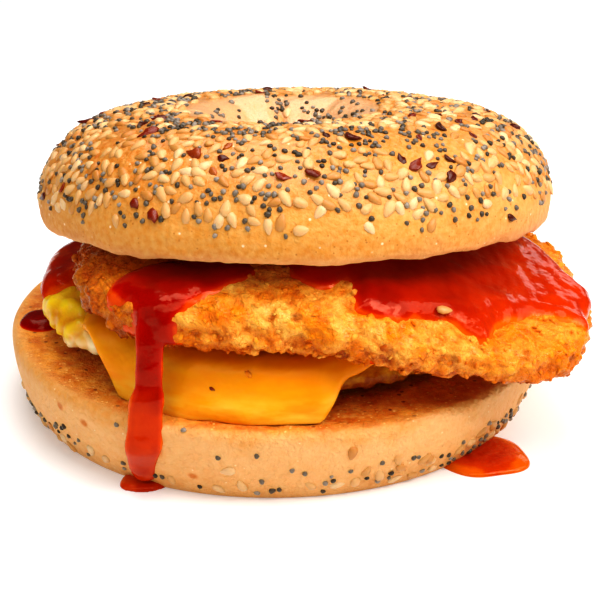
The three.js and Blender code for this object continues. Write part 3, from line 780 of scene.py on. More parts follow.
def kidney(t, a):
    """A poppy seed: a ball that is bent a little, so one side is hollow."""
    return np.cos(t) + 0 * a, np.sin(t) * np.cos(a) + 0.28 * np.cos(t) ** 2, 0.95 * np.sin(t) * np.sin(a)


def chip(t, a):
    """A flake of dried chilli: flat, with a ragged outline and a slight curl."""
    ragged = 1 + 0.16 * np.sin(3 * a + 1) + 0.12 * np.cos(5 * a)
    x, y = np.sin(t) ** 0.6 * np.cos(a) * ragged, np.sin(t) ** 0.6 * np.sin(a) * ragged
    return x, y, np.cos(t) + 0.5 * x * x - 0.4 * y


SESAME_SHAPE, SESAME_MEAN = small_shape(7, 4, teardrop), (1.6, 0.98, 0.6)
POPPY_SHAPE, POPPY_MEAN = small_shape(6, 3, kidney), (0.56, 0.5, 0.46)
CHIP_SHAPE, CHIP_MEAN = small_shape(9, 3, chip), (1.4, 0.95, 0.32)
SESAME, POPPY = (SESAME_SHAPE, SESAME_MEAN, 0.14), (POPPY_SHAPE, POPPY_MEAN, 0.2)
seed_faces = [shape[1] for shape in (SESAME_SHAPE, POPPY_SHAPE, CHIP_SHAPE)]
print("triangles per seed:", [sum(len(face) - 2 for face in faces) for faces in seed_faces])

# %% [markdown]
# Seeds stick where the dough was wet: thick on the crest and the shoulder, fewer down the
# side, none at the lowest edge, and a band of poppy seeds deep in the hole. The density is a
# number per grid cell, made of the height, a slow noise for bare patches, and the hole.

# %% Crown seeds
rng = np.random.default_rng(7)
side_share = ease((height / CREST_HEIGHT - 0.2) / 0.42)
clumps = 0.7 + 1.1 * soft_noise(crown_smooth, 11, 21) + 0.6 * soft_noise(crown_smooth, 4, 22)
clumps = np.clip(clumps, 0.03, None)
outer = (row_number < OUTSIDE_ROWS) * side_share
rim = (row_number >= OUTSIDE_ROWS) * (1 - under) * ease((height - 21.9) / 0.4)
creased = 0.8 * fold(92, 9) + 0.8 * fold(62, 8) * ease((height - 12) / 4)
wall = in_hole * ease((height - 7) / 3) * (1 - rim) * (0.14 + 1.5 * creased)
sesame_chance = (outer + rim * 1.3 + 0.05 * wall) * clumps + 1e-9
poppy_clumps = np.clip(0.75 + 1.1 * soft_noise(crown_smooth, 6, 31), 0.05, None)
poppy_chance = (outer ** 0.7 + 0.6 * rim + wall) * poppy_clumps + 1e-9
flake_chance = (outer + rim) * np.clip(soft_noise(crown_smooth, 14, 41) + 0.5, 0.05, None) + 1e-9

FLAKE_GAP, SESAME_GAP, POPPY_GAP = 1.4, 0.92, 0.42  # the room that each keeps round its middle
FLAKES_AT = [  # the largest flakes, on the sandwich
    [-18.9, -32.3, 61.8], [-45, -20.2, 50.6], [-29.4, -36.3, 53.5], [-26.7, -39.8, 52.5], [18, -33.2, 60.6],
    [20.6, -34, 59.9], [24.1, -32.4, 59.3], [27.1, -33, 57.1], [39, -27.6, 47.2], [0.8, -14.2, 61.1]]
best = closest(onto_sandwich(crown_grid), FLAKES_AT)
large, large_leans = crown_grid.reshape(-1, 3)[best], crown_normals.reshape(-1, 3)[best]
taken = [np.column_stack([large, np.full(len(large), FLAKE_GAP)])]
crown_skin = crown_grid, crown_normals
spots, leans = strewn(*crown_skin, flake_chance, count=54, gap=FLAKE_GAP, taken=taken, rng=rng)
spots, leans = np.vstack([large, spots]), np.vstack([large_leans, leans])
flake_sizes = sizes_around(CHIP_MEAN, 0.45, len(spots), rng)
chilli = scatter("chilli_flakes", CHIP_SHAPE, spots, leans, flake_sizes, rng,
                 sink=-0.1, lean=0.2, slot="crown_crust", where=onto_sandwich)
sesame = sown("crown_sesame", SESAME, crown_skin, sesame_chance, count=860, gap=SESAME_GAP,
              taken=taken, rng=rng, sink=0.1, lean=0.1, slot="crown_crust", where=onto_sandwich)
poppy = sown("crown_poppy", POPPY, crown_skin, poppy_chance, count=1500, gap=POPPY_GAP,
             taken=taken, rng=rng, sink=-0.2, lean=0.3, slot="crown_crust", where=onto_sandwich)

# %% [markdown]
# Each seed carries a random tone, and its material turns that into a colour: cream to toasted
# tan for sesame, slate to black for poppy, and dark red to brown for the chilli.

# %% Seed finishes
def seed_finish(name, stops, dust, roughness, height, **shader):
    """A seed's finish: a ramp over the seed's own tone, mottled with a second colour."""
    hull = Finish(name, **shader)
    patches = hull.mottle(0.0009, 0.25)
    hull.set(Base_Color=hull.layered(hull.ramp(hull.mark("tone"), *stops), (patches, 0.3, *dust)),
             Roughness=hull.remap(patches, 0, 1, roughness, roughness + 0.15),
             Normal=hull.grain(0.00025, height / 3, 0.0007, height))
    return hull


sesame_hull = seed_finish(
    "sesame_hull", ((0.0, 190, 122, 56), (0.25, 210, 154, 90), (0.7, 224, 180, 124), (1.0, 234, 202, 156)),
    (214, 150, 74), 0.34, 0.00004, Subsurface_Weight=0.1, Subsurface_Scale=0.001)
poppy_hull = seed_finish(
    "poppy_hull", ((0.0, 52, 42, 34), (0.45, 98, 86, 76), (1.0, 166, 152, 138)),
    (66, 56, 54), 0.26, 0.00006)
chilli_skin = seed_finish(
    "chilli_skin", ((0.0, 66, 8, 2), (0.5, 112, 18, 4), (0.8, 146, 40, 6), (1.0, 190, 100, 24)),
    (70, 12, 4), 0.2, 0.0001)
sesame_hull.dress(sesame)
poppy_hull.dress(poppy)
chilli_skin.dress(chilli)

# %% [markdown]
# The heel is the lower half of the bagel, cut side up. It is another turned loop: a side that
# swells out from the foot, a small round edge, the toasted cut face, and the hole. It sits a
# little aslant, since nobody cuts a bagel quite level.

# %% Heel
HEEL_AT = np.array([-4.6, 0, 0])
HEEL_CUT_RADIUS, HEEL_FOOT_RADIUS, HEEL_HEIGHT, HEEL_HOLE = 53.6, 48.8, 15.4, 9
HEEL_SLOPE = -0.012  # height change of the cut face per millimetre along x
HEEL_ROUND = 1.6  # radius of the edge between the side and the cut face
HEEL_COLUMNS = 420
SIDE_ROWS, FACE_ROWS, HEEL_HOLE_ROWS, FOOT_ROWS = 56, 66, 12, 14


def heel_stretches():
    """The heel's outline as (radius, height): side, cut face, hole and foot. The side's
    radius follows a power of the sine of an angle from 0 to 90 degrees, its height a power of
    one less the cosine."""
    a = np.linspace(0, math.pi / 2, 60)
    side = np.stack([HEEL_FOOT_RADIUS + (HEEL_CUT_RADIUS - HEEL_FOOT_RADIUS) * np.sin(a) ** 1.2,
                     (HEEL_HEIGHT - HEEL_ROUND) * (1 - np.cos(a)) ** 0.75], axis=1)
    b = np.linspace(0, math.pi / 2, 12)[1:]
    edge = np.stack([HEEL_CUT_RADIUS - HEEL_ROUND + HEEL_ROUND * np.cos(b),
                     HEEL_HEIGHT - HEEL_ROUND + HEEL_ROUND * np.sin(b)], axis=1)
    top = [HEEL_CUT_RADIUS - HEEL_ROUND, HEEL_HEIGHT]
    hole = [[HEEL_HOLE + 1, HEEL_HEIGHT], [HEEL_HOLE, HEEL_HEIGHT - 1.2],
            [HEEL_HOLE + 1.2, HEEL_HEIGHT * 0.45], [HEEL_HOLE + 4, 0]]
    return np.vstack([side, edge]), np.array([top, hole[0]]), np.array(hole), np.array([hole[-1], side[0]])


heel_rows = [along_path(path, rows) for path, rows in
             zip(heel_stretches(), (SIDE_ROWS, FACE_ROWS, HEEL_HOLE_ROWS, FOOT_ROWS))]
heel_smooth = turned(np.vstack(heel_rows), HEEL_COLUMNS)
heel_smooth[..., 2] += HEEL_SLOPE * heel_smooth[..., 0] * np.clip(heel_smooth[..., 2] / HEEL_HEIGHT, 0, 1)
heel_row = np.repeat(np.arange(heel_smooth.shape[0])[:, None], HEEL_COLUMNS, axis=1)
heel_radius = np.hypot(heel_smooth[..., 0], heel_smooth[..., 1])
heel_rise = heel_smooth[..., 2] / HEEL_HEIGHT
on_face = ease((HEEL_CUT_RADIUS - 0.3 - heel_radius + 0.35 * soft_noise(heel_smooth, 5, 52)) / 1.3)
on_face = on_face * (heel_row >= SIDE_ROWS - 14) * (heel_row < SIDE_ROWS + FACE_ROWS + 2)
on_foot = (heel_row >= SIDE_ROWS + FACE_ROWS + HEEL_HOLE_ROWS).astype(float)
heel_hills = 0.3 * soft_noise(heel_smooth, 17, 51) + 0.05 * rough_noise(heel_smooth, 3, 3, 53)
crumb_pits = 0.2 * rough_noise(heel_smooth, 2.2, 3, 55)
crumb_pits -= 0.3 * ease((rough_noise(heel_smooth, 5, 2, 57) - 0.32) / 0.2)
heel_push = heel_hills * (1 - on_face) * np.clip(heel_rise * 3, 0, 1) * (1 - on_foot) + on_face * crumb_pits
heel_grid = pushed(heel_smooth, heel_push, ring=True)
heel_normals = normals_of(heel_grid, ring=True)
heel_placed = heel_grid + HEEL_AT
CARAMEL_AT = [[-45.1, -35.7, 12.5], [-40.2, -40.4, 11.3], [-19.6, -49.5, 5.1]]  # browned spots on the side
CARAMEL_WIDE = 0.9
caramel = sum(np.exp(-((heel_placed - spot) ** 2).sum(axis=-1) / CARAMEL_WIDE ** 2)
              for spot in np.array(CARAMEL_AT))
HEEL_FULL_RADIUS = 54  # where the mark "radius" is 1
heel_marks = {"face": on_face, "rise": heel_rise, "caramel": caramel,
              "radius": heel_radius / HEEL_FULL_RADIUS}
heel = grid_piece("heel_crust", heel_placed, heel_marks, "heel_crust", "bagel_heel", ring=True)

# %% [markdown]
# The heel's side is the palest crust: it baked against the tray. Its cut face was toasted, so
# it is mottled orange-brown with open pores and a softer, lighter rim.

# %% Heel finish
dough = Finish("heel_crust_finish", Subsurface_Weight=0.08, Subsurface_Scale=0.002)
patches, specks, browning = dough.mottle(0.013, 0.2), dough.mottle(0.0014, 0.22), dough.mottle(0.0034, 0.14)
side = dough.layered(
    dough.ramp(dough.math("ADD", dough.mark("rise"), dough.remap(patches, 0, 1, -0.2, 0.2)),
               (0.0, 222, 150, 80), (0.3, 236, 172, 104), (0.8, 238, 178, 112), (1.0, 230, 156, 76)),
    (specks, 0.4, 242, 200, 138),
    (dough.freckles(0.0085, 0.001, 0.35), 1, 222, 126, 24),
    (dough.freckles(0.0019, 0.00024, 0.35), 1, 246, 214, 160),
    (dough.remap(dough.mark("caramel"), 0.2, 0.7, 0, 0.85), 1, 214, 110, 10))
toast = dough.layered(
    dough.mix(browning, srgb(218, 110, 16), srgb(248, 168, 64)),
    (patches, 0.5, 212, 98, 10),
    (dough.remap(specks, 0.4, 1, 0, 0.5), 1, 248, 188, 104),
    (dough.freckles(0.0011, 0.0003, 0.6), 1, 255, 206, 124),
    (dough.freckles(0.0024, 0.0005, 0.4), 1, 150, 66, 22),
    (dough.remap(dough.mark("radius"), 0.93, 0.985, 0, 0.6), 1, 246, 190, 116))
dough.set(Base_Color=dough.mix(dough.mark("face"), side, toast),
          Roughness=dough.remap(browning, 0, 1, 0.55, 0.7),
          Normal=dough.grain(0.0006, 0.00036, 0.0018, 0.0008))
dough.dress(heel)

# %% [markdown]
# Seeds that fell on the tray stick round the foot. They are densest on the near right side, and
# there is a second patch at the left.

# %% Heel seeds
rng = np.random.default_rng(19)
heel_around = np.degrees(np.arctan2(heel_smooth[..., 1], heel_smooth[..., 0]))
low_side = (heel_row < SIDE_ROWS - 16) * ease((0.62 - heel_rise) / 0.45)
low_side = low_side * ease((heel_smooth[..., 2] - 1.1) / 0.8)
foot_share = 0.16 + 1.2 * ease(1 - np.abs(heel_around + 52) / 40)  # in degrees: near right,
foot_share += 0.7 * ease(1 - np.abs(heel_around + 155) / 35)  # and left
heel_chance = low_side * foot_share * np.clip(0.6 + soft_noise(heel_smooth, 8, 61), 0.05, None) + 1e-12
heel_skin, taken = (heel_grid, heel_normals), []


def onto_heel(points):
    """Moves what was worked out round the heel's own middle to the heel's place."""
    return points + HEEL_AT


heel_sesame = sown("heel_sesame", SESAME, heel_skin, heel_chance, count=54, gap=1.2,
                   taken=taken, rng=rng, sink=0.15, lean=0.08, slot="heel_crust", where=onto_heel)
heel_poppy = sown("heel_poppy", POPPY, heel_skin, heel_chance, count=120, gap=0.6,
                  taken=taken, rng=rng, sink=-0.1, lean=0.3, slot="heel_crust", where=onto_heel)
sesame_hull.dress(heel_sesame)
poppy_hull.dress(heel_poppy)

# %% [markdown]
# The cutlet is a flat piece of meat with an uneven outline. Its skin is worked out from pole to
# pole: a power of the sine carries each row out to the outline, a power of the cosine
# lifts it, and the middle level bends down where the right end droops over the stack.

# %% Cutlet shape
CUTLET_CENTRE = np.array([5, -10])
CUTLET_OUTLINE = [
    [-42.6, -14], [-41.9, -27], [-38.2, -37], [-31, -43.5], [-18, -48.6], [0, -50.2], [16, -50],
    [29, -47.2], [39, -45.4], [48.8, -40.2], [54.5, -29], [54.7, -12], [51.4, 4], [43.5, 15],
    [31, 24], [12, 31], [-8, 32], [-26, 26], [-38, 14], [-42.2, 0]]


def even_rows(reach, half, spread_power, lift_power, rows):
    """Angles from pole to pole whose points (reach sin^p, half cos^q) lie evenly apart."""
    t = np.linspace(0, math.pi, 4000)
    path = [reach * np.sin(t).clip(0) ** spread_power, half * signed_power(np.cos(t), lift_power)]
    length = walked(np.stack(path, axis=1))
    return np.interp(np.linspace(0, length[-1], rows), length, t)[:, None]


def seen_from_above(outline, columns, centre, share):
    """The way from the centre to each place of an outline, and x and y of a skin's points: each
    row goes a share of that way."""
    away = loop_through(outline, columns) - centre
    return away, centre[0] + away[:, 0] * share, centre[1] + away[:, 1] * share


def cutlet_top(x, y):
    """The height of the cutlet's upper face: a slope against the crown, a rounding at the near
    side that grows with the square, and the droop of the right end."""
    droop = (4.2 + 6.6 * np.clip((5 - y) / 32, 0, 1)) * ease((x - 2 - 0.4 * np.clip(y + 45, 0, 60)) / 38)
    return 35.5 + 0.5 * ease((y + 34) / 10) - 0.18 * y - 0.0057 * np.clip(-y - 22, 0, None) ** 2 - droop


def cutlet_thick(x, y):
    """The cutlet is thicker at the near side, apart from one pinched bend."""
    return 8.6 + (5.2 - 3.6 * np.exp(-(((x - 33) / 11) ** 2))) * np.clip((-y - 5) / 35, 0, 1)


def cutlet_skin(rows, columns, crag):
    """The cutlet's two-pole grid and how far up each point faces, from -1 to 1. crag is the
    height of its slow bumps."""
    t = even_rows(26, 6, 0.55, 0.62, rows)
    away, x, y = seen_from_above(CUTLET_OUTLINE, columns, CUTLET_CENTRE, np.sin(t).clip(0) ** 0.55)
    half = cutlet_thick(x, y) / 2
    lift = signed_power(np.cos(t), 0.62) + 0 * x
    z = cutlet_top(x, y) - half + half * lift
    relief = crag * (1 - 0.65 * np.clip(lift, 0, 1)) * (lumps(x, y, z, 9) + 0.6 * lumps(y, z, x, 4.5))
    out = relief * np.sqrt(np.clip(1 - lift * lift, 0, 1)) / np.linalg.norm(away, axis=1)
    return np.stack([x + out * away[:, 0], y + out * away[:, 1], z + relief * lift], axis=-1), lift


# %% [markdown]
# Breading is dried crumbs that fried together: clods a few millimetres wide at the sides and
# below, flatter on top. Clods are bells round strewn points. Loose crumbs are small chips,
# scattered as the seeds are.

# %% Cutlet breading
LOBE_AT = np.array([-33.0, -42.2, 28.2])  # a drop of batter that hangs beside the run of sauce
CUTLET_ROWS, CUTLET_COLUMNS = 196, 500
cutlet_smooth, facing_up = cutlet_skin(CUTLET_ROWS, CUTLET_COLUMNS, 0.8)
side_share = 1 - 0.55 * np.clip(facing_up, 0, 1)
bent = np.stack([rough_noise(cutlet_smooth, 3, 3, seed) for seed in (69, 70, 73)], axis=-1)
gap = grain_noise(cutlet_smooth * [1, 1, 1.15] + 0.9 * bent, 3.0, 71)
fine_gap = grain_noise(cutlet_smooth + 0.4 * bent, 1.35, 72)
flakes = 1 - np.abs(rough_noise(cutlet_smooth, 2.6, 4, 74)) * 2.2
clods = 0.8 * np.exp(-((gap / 0.5) ** 2)) + 0.42 * np.exp(-((fine_gap / 0.45) ** 2)) + 0.45 * flakes
lobe = 2.8 * np.exp(-(np.linalg.norm(cutlet_smooth - LOBE_AT, axis=-1) / 2.5) ** 2)
cutlet_grid = pushed(cutlet_smooth, (clods - 0.75) * side_share + lobe, ring=False)
cutlet_normals = normals_of(cutlet_grid, ring=False)
# up is how far each point faces up, lowered on the hanging lobe; the finish paints shade by it, so the lobe
# and the faces that look down are painted darker
cutlet_marks = {"clod": clods, "up": facing_up - 0.5 * lobe}
cutlet = grid_piece("cutlet_breading", cutlet_grid, cutlet_marks, "breading", "chicken_cutlet")

rng = np.random.default_rng(23)
crumb_chance = np.where(facing_up > -0.9, 0.25 + 0.75 * (1 - np.clip(facing_up, 0, 1)), 0.1)
crumb_chance = crumb_chance * (cutlet_grid[..., 1] < 24)  # none at the far side
crumb_chance = crumb_chance * np.clip(0.7 + rough_noise(cutlet_smooth, 6, 2, 75), 0.1, None)


def crumb(t, a):
    """A crumb of breading: an angular little lump."""
    bent = 1 + 0.3 * np.sin(2 * a + 1) * np.sin(t)
    return np.cos(t) + 0 * a, np.sin(t) * np.cos(a) * bent, np.sin(t) * np.sin(a + 0.4) * bent


CRUMB_SHAPE = small_shape(5, 2, crumb)
CRUMB = CRUMB_SHAPE, (0.62, 0.48, 0.4), 0.6
crumbs = sown("cutlet_crumbs", CRUMB, (cutlet_grid, cutlet_normals), crumb_chance, count=2600, gap=0.4,
              taken=[], rng=rng, sink=0.6, lean=0.6, slot="breading")

# %% [markdown]
# Fried crumbs go from cream through gold to dark brown. Raised clods are painted lighter than the gaps
# between them, which hold painted shade; the parts that face down, the lower edge most, are painted darkest
# as shade; the left end is darker, painted shade from the crown above it along with browning there; and
# thin places in the middle stay cream. The skin and the loose crumbs share all this as one group, so that
# the crumbs belong to the skin.

# %% Breading finish
def build_fried():
    """The colour of fried breading by its level, 0 dark brown to 1 gold, with cream patches on high levels,
    and everything darker towards the left end: painted shade from the crown above it, with browning there
    too."""
    nodes, given, result = new_group("fried", ("Level",), "Color")
    level = nodes.math("ADD", given["Level"], nodes.remap(nodes.mottle(0.0015, 0.2), 0, 1, -0.16, 0.16))
    gold = nodes.ramp(level, (0.0, 96, 26, 0), (0.25, 176, 68, 0), (0.55, 226, 112, 0), (1.0, 246, 150, 8))
    along = nodes.along_x()
    aside = nodes.math("ABSOLUTE", nodes.math("SUBTRACT", along, 0.004))
    thin = nodes.math("MULTIPLY", nodes.mottle(0.0062, 0.11), nodes.remap(level, 0.35, 0.8))
    thin = nodes.math("MULTIPLY", thin, nodes.remap(aside, 0.016, 0.03, 0.85, 0.28))
    spots = nodes.freckles(0.0046, 0.0013, 0.22)
    gold = nodes.layered(gold, (thin, 1, 255, 206, 110), (spots, 0.7, 170, 70, 2))
    # painted shade: the left end, under the crown, is darkened, along with its browning
    shaded_and_browner = nodes.mix(nodes.remap(along, -0.022, -0.042), gold, (0.6, 0.38, 0.16, 1), "MULTIPLY")
    nodes.feed(result, shaded_and_browner)
    return nodes.tree


FRIED = build_fried()
breading = Finish("fried_breading", Subsurface_Weight=0.06, Subsurface_Scale=0.0015, Coat_Roughness=0.08,
                  Specular_IOR_Level=0.8, Specular_Tint=(1, 0.64, 0.24, 1))
# Painted light and shade: the level is lighter where the skin faces up and darker where it faces down, and
# lighter on raised clods than in the gaps between them.
facing = breading.remap(breading.mark("up"), -0.85, 0.3, 0.32, 0.74)
raised = breading.remap(breading.mark("clod"), 0.1, 1.3, -0.26, 0.2)
specks = breading.mottle(0.0018, 0.2)
breading.set(Base_Color=breading.use(FRIED, Level=breading.math("ADD", facing, raised)),
             Roughness=breading.remap(specks, 0, 1, 0.18, 0.44),
             Coat_Weight=breading.remap(specks, 0, 1, 0.25, 0.0),
             Normal=breading.grain(0.0007, 0.0007, 0.0016, 0.001))
breading.dress(cutlet)

crumb_gold = Finish("crumb_gold", Roughness=0.3, Specular_Tint=(1, 0.65, 0.3, 1))
# painted light and shade: crumbs that face up are lighter, and those that face down darker
facing = crumb_gold.remap(crumb_gold.mark("up"), -0.85, 0.3, 0.2, 0.6)
toned = crumb_gold.remap(crumb_gold.mark("tone"), 0, 1, 0, 0.3)
crumb_gold.set(Base_Color=crumb_gold.use(FRIED, Level=crumb_gold.math("ADD", facing, toned)),
               Normal=crumb_gold.grain(0.0004, 0.0002, 0.001, 0.0003))
crumb_gold.dress(crumbs)

# %% [markdown]
# The browned patty lies lowest. Only its craggy near rim peeps out, dark below and olive brown above, so a
# disc with a clodded rim does. The dark below is painted shade, where the patty lies close over the heel.

# %% Patty
PATTY_AT, PATTY_RADIUS, PATTY_LOW, PATTY_THICK = (0, -3), 37.5, 15.75, 5.6
PATTY_ROWS, PATTY_COLUMNS = 70, 260
t = even_rows(PATTY_RADIUS, PATTY_THICK / 2, 0.45, 0.5, PATTY_ROWS)
a = np.linspace(0, TAU, PATTY_COLUMNS, endpoint=False)
bumpy = 1 + 0.012 * (lumps(np.cos(a) * 40, np.sin(a) * 40, t / math.pi * 9, 11) - 1)
reach = PATTY_RADIUS * np.sin(t).clip(0) ** 0.45 * bumpy
level = PATTY_LOW + PATTY_THICK / 2 * (1 + signed_power(np.cos(t), 0.5)) + 0 * a
patty_smooth = np.stack([PATTY_AT[0] + reach * np.cos(a), PATTY_AT[1] + reach * np.sin(a), level], axis=-1)
gap = grain_noise(patty_smooth, 2.6, 81)
crags = 0.8 * np.exp(-((gap / 0.45) ** 2)) + 0.3 * rough_noise(patty_smooth, 1.5, 2, 82) - 0.45
patty_marks = {"high": (level - PATTY_LOW) / PATTY_THICK}
patty = grid_piece("patty_meat", pushed(patty_smooth, crags, ring=False), patty_marks,
                   "patty", "browned_patty")

meat = Finish("browned_meat")
specks = meat.mottle(0.002, 0.2)
# painted shade: the ramp darkens the patty towards its underside
seared_and_shaded = meat.ramp(meat.math("ADD", meat.mark("high"), meat.remap(specks, 0, 1, -0.25, 0.25)),
                   (0.0, 150, 64, 4), (0.4, 196, 104, 10), (0.65, 226, 156, 26), (1.0, 244, 190, 52))
meat.set(Base_Color=seared_and_shaded, Roughness=meat.remap(specks, 0, 1, 0.3, 0.6),
         Normal=meat.grain(0.0006, 0.0003, 0.0015, 0.0005))
meat.dress(patty)

# %% [markdown]
# The egg was folded. It is pressed thin under the cutlet and puffs up where its left end hangs
# free: that end is what shows, yellow above and a wrinkled white lobe below.

# %% Egg
EGG_CENTRE, EGG_MIDDLE, EGG_THIN, EGG_PUFF = np.array([-18, -6]), 23.4, 3.4, 9.6
EGG_DROOP, EGG_RISE = 1.2, 0.07  # the free end hangs, and rises per millimetre to the left
EGG_ROWS, EGG_COLUMNS = 110, 300
EGG_OUTLINE = [
    [-50.4, -2], [-49.4, -16], [-44.5, -25.5], [-35, -32.5], [-20, -37], [-4, -37],
    [9, -31], [14, -16], [13, 2], [7, 17], [-8, 24], [-28, 25], [-43.2, 18], [-49.4, 8]]


def egg_skin(rows, columns):
    """The egg's two-pole grid: out to its outline by the root of the sine, thick where it is
    free, and rising a little towards its left end."""
    t = even_rows(34, 3, 0.5, 0.7, rows)
    _, x, y = seen_from_above(EGG_OUTLINE, columns, EGG_CENTRE, np.sin(t).clip(0) ** 0.5)
    free = ease((-30 - x) / 14)
    half = (EGG_THIN + (EGG_PUFF - EGG_THIN) * free) / 2
    level = EGG_MIDDLE - EGG_DROOP * free + EGG_RISE * np.clip(-32 - x, 0, None)
    z = level + 0.4 * lumps(x, y, 0, 17) + half * signed_power(np.cos(t), 0.7)
    return np.stack([x, y, z], axis=-1), free


egg_smooth, egg_free = egg_skin(EGG_ROWS, EGG_COLUMNS)
ex, ey, ez = np.moveaxis(egg_smooth, -1, 0)
white_line = ez - 22.2 - 0.95 * (ex + 44.5) + 1.1 * soft_noise(egg_smooth, 7, 91)
egg_white = ease(0.5 - white_line / 1.2)
egg_folds = 0.5 * soft_noise(egg_smooth, 3.4, 92)
egg_folds += 0.7 * (np.abs(soft_noise(egg_smooth * [1, 1, 0.6], 3.2, 94)) * 2 - 0.6)
egg_folds += 0.35 * egg_white * rough_noise(egg_smooth * [1, 1, 2.2], 3.2, 3, 93)
egg_crease = -0.9 * np.exp(-((white_line / 0.7) ** 2)) * egg_free
egg_grid = pushed(egg_smooth, egg_free * (egg_folds + 0.5 * egg_white) + egg_crease, ring=False)
egg_marks = {"white": egg_white, "crease": -egg_crease, "fold": egg_folds}
egg = grid_piece("egg_fold", egg_grid, egg_marks, "egg", "folded_egg")

cooked = Finish("cooked_egg", Subsurface_Weight=0.2, Subsurface_Scale=0.003)
# Painted shade and light: the yolk and the white are darker in the valleys of their folds and lighter on
# the crests
fold_shading = cooked.remap(cooked.mark("fold"), -0.6, 0.6)
yolk = cooked.mix(fold_shading, srgb(218, 140, 0), srgb(252, 214, 30))
pale = cooked.mix(fold_shading, srgb(236, 184, 84), srgb(252, 236, 190))
both = cooked.mix(cooked.mark("white"), yolk, pale)
# painted shade: the crease between yolk and white is darkened
crease = cooked.remap(cooked.mark("crease"), 0.2, 0.9, 0, 0.6)
cooked.set(Base_Color=cooked.layered(both, (crease, 1, 236, 150, 4)),
           Roughness=cooked.remap(cooked.mottle(0.005, 0.2), 0, 1, 0.28, 0.42),
           Normal=cooked.grain(0.0008, 0.00005, 0.003, 0.0004))
cooked.dress(egg)

# %% [markdown]
# The cheese melted: it lies flat on the egg, bends over its near side and flows down to the
# heel. Each direction round it has its own path in radius and height, and the slice is a thin
# skin on both sides of that path with a rounded edge.

# %% Cheese
CHEESE_CENTRE, CHEESE_THICK, CHEESE_TOP, CHEESE_REACH = np.array([-4, -4]), 2.3, 26.2, 39
CHEESE_ROWS, CHEESE_COLUMNS, PATH_POINTS = 110, 300, 240


def cheese_path(a, count):
    """count points (radius, height) from the slice's middle to its edge, and how far it hangs
    in the direction a: 1 at the near left side, where it reaches the heel. A free corner
    sticks out beside the egg."""
    degrees = math.degrees(a) % 360
    right_end = 0.72 * ease((degrees - 279) / 9) + 0.28 * ease((degrees - 286) / 16)
    hang = ease((degrees - 217) / 13) * (1 - right_end)
    corner = math.exp(-(((degrees - 219) / 9) ** 2))
    flat = CHEESE_REACH + 3 * abs(math.cos(a + 0.3)) + 4.5 * corner
    left = ease((-math.cos(a) - 0.55) / 0.3)
    top = CHEESE_TOP
    path = [[0, top - 0.6],
            [20, top],
            [34, top + 0.1 + 0.1 * hang - 0.4 * left + 0.8 * corner],
            [flat - 2.5 + (41.4 - flat + 2.5) * hang,
             top - 0.1 + (24.7 - top) * hang - left + 1.8 * corner],
            [flat - 0.9 + (43.9 - flat + 0.9) * hang,
             top - 0.5 + (21.1 - top) * hang - 1.2 * left + 2.2 * corner],
            [flat + (45.6 - flat) * hang,
             top - 1 + (16.5 - top) * hang - 1.4 * left + 2.4 * corner]]
    return loop_through(path, count, closed=False)


def cheese_skin():
    """Offsets each path to both sides along its normal. The half thickness shrinks near the
    edge by the root of 1 - s^18, s being the share of the way to the edge."""
    half_rows = CHEESE_ROWS // 2
    s = 1 - (1 - np.linspace(0, 1, half_rows)) ** 1.6
    steps = np.linspace(0, 1, PATH_POINTS)
    grid = np.zeros((CHEESE_ROWS, CHEESE_COLUMNS, 3))
    for column, a in enumerate(np.linspace(0, TAU, CHEESE_COLUMNS, endpoint=False)):
        fine = cheese_path(a, PATH_POINTS)
        along = np.stack([np.interp(s, steps, values) for values in fine.T], axis=1)
        slope = np.gradient(along, axis=0)
        slope /= np.linalg.norm(slope, axis=1, keepdims=True)
        half = CHEESE_THICK / 2 * np.sqrt(np.clip(1 - s ** 18, 0.0, 1))
        for rows, sign in ((slice(0, half_rows), 1), (slice(CHEESE_ROWS - 1, half_rows - 1, -1), -1)):
            r = along[:, 0] - sign * slope[:, 1] * half
            z = along[:, 1] + sign * slope[:, 0] * half
            grid[rows, column] = np.stack([r * math.cos(a), r * math.sin(a), z], axis=1)
    grid[..., :2] += CHEESE_CENTRE
    return grid


cheese_smooth = cheese_skin()
cheese_waves = 0.5 * soft_noise(cheese_smooth * [0.55, 0.55, 1.5], 7, 95)
cheese_waves += 0.15 * soft_noise(cheese_smooth, 4, 96)
drawn_folds = 1 - 2 * np.abs(soft_noise(cheese_smooth * [0.3, 0.3, 1.1], 4.5, 97))
cheese_waves += 0.4 * drawn_folds * ease((23 - cheese_smooth[..., 2]) / 4)
cheese_grid = pushed(cheese_smooth, cheese_waves, ring=False)
cheese_marks = {"near_foot": ease((22 - cheese_smooth[..., 2]) / 4)}
cheese = grid_piece("cheese_melt", cheese_grid, cheese_marks, "cheese", "cheese_slice")

melt = Finish("melted_cheese", Subsurface_Weight=0.15, Subsurface_Scale=0.003,
              Specular_IOR_Level=0.35, Specular_Tint=(1, 0.8, 0.5, 1))
patches = melt.mottle(0.012, 0.3)
stretched = {0: melt.place, 1: (0.4, 0.4, 1.5)}  # swirls are drawn out sideways
drawn = melt.add("ShaderNodeVectorMath", stretched, operation="MULTIPLY").outputs["Vector"]
# painted highlights: pale swirls near the foot stand for the gloss on its soft folds
foot_sheen = melt.remap(melt.mottle(0.0045, 0.1, drawn), 0, 1, 0, 0.85)
melted = melt.layered(
    melt.mix(patches, srgb(244, 140, 0), srgb(251, 157, 0)),
    (melt.mottle(0.007, 0.12, drawn), 0.4, 255, 190, 24),
    (melt.math("MULTIPLY", foot_sheen, melt.mark("near_foot")), 1, 255, 202, 76))
melt.set(Base_Color=melted, Roughness=melt.remap(patches, 0, 1, 0.26, 0.4),
         Normal=melt.grain(0.0015, 0.00004, 0.006, 0.0005))
melt.dress(cheese)

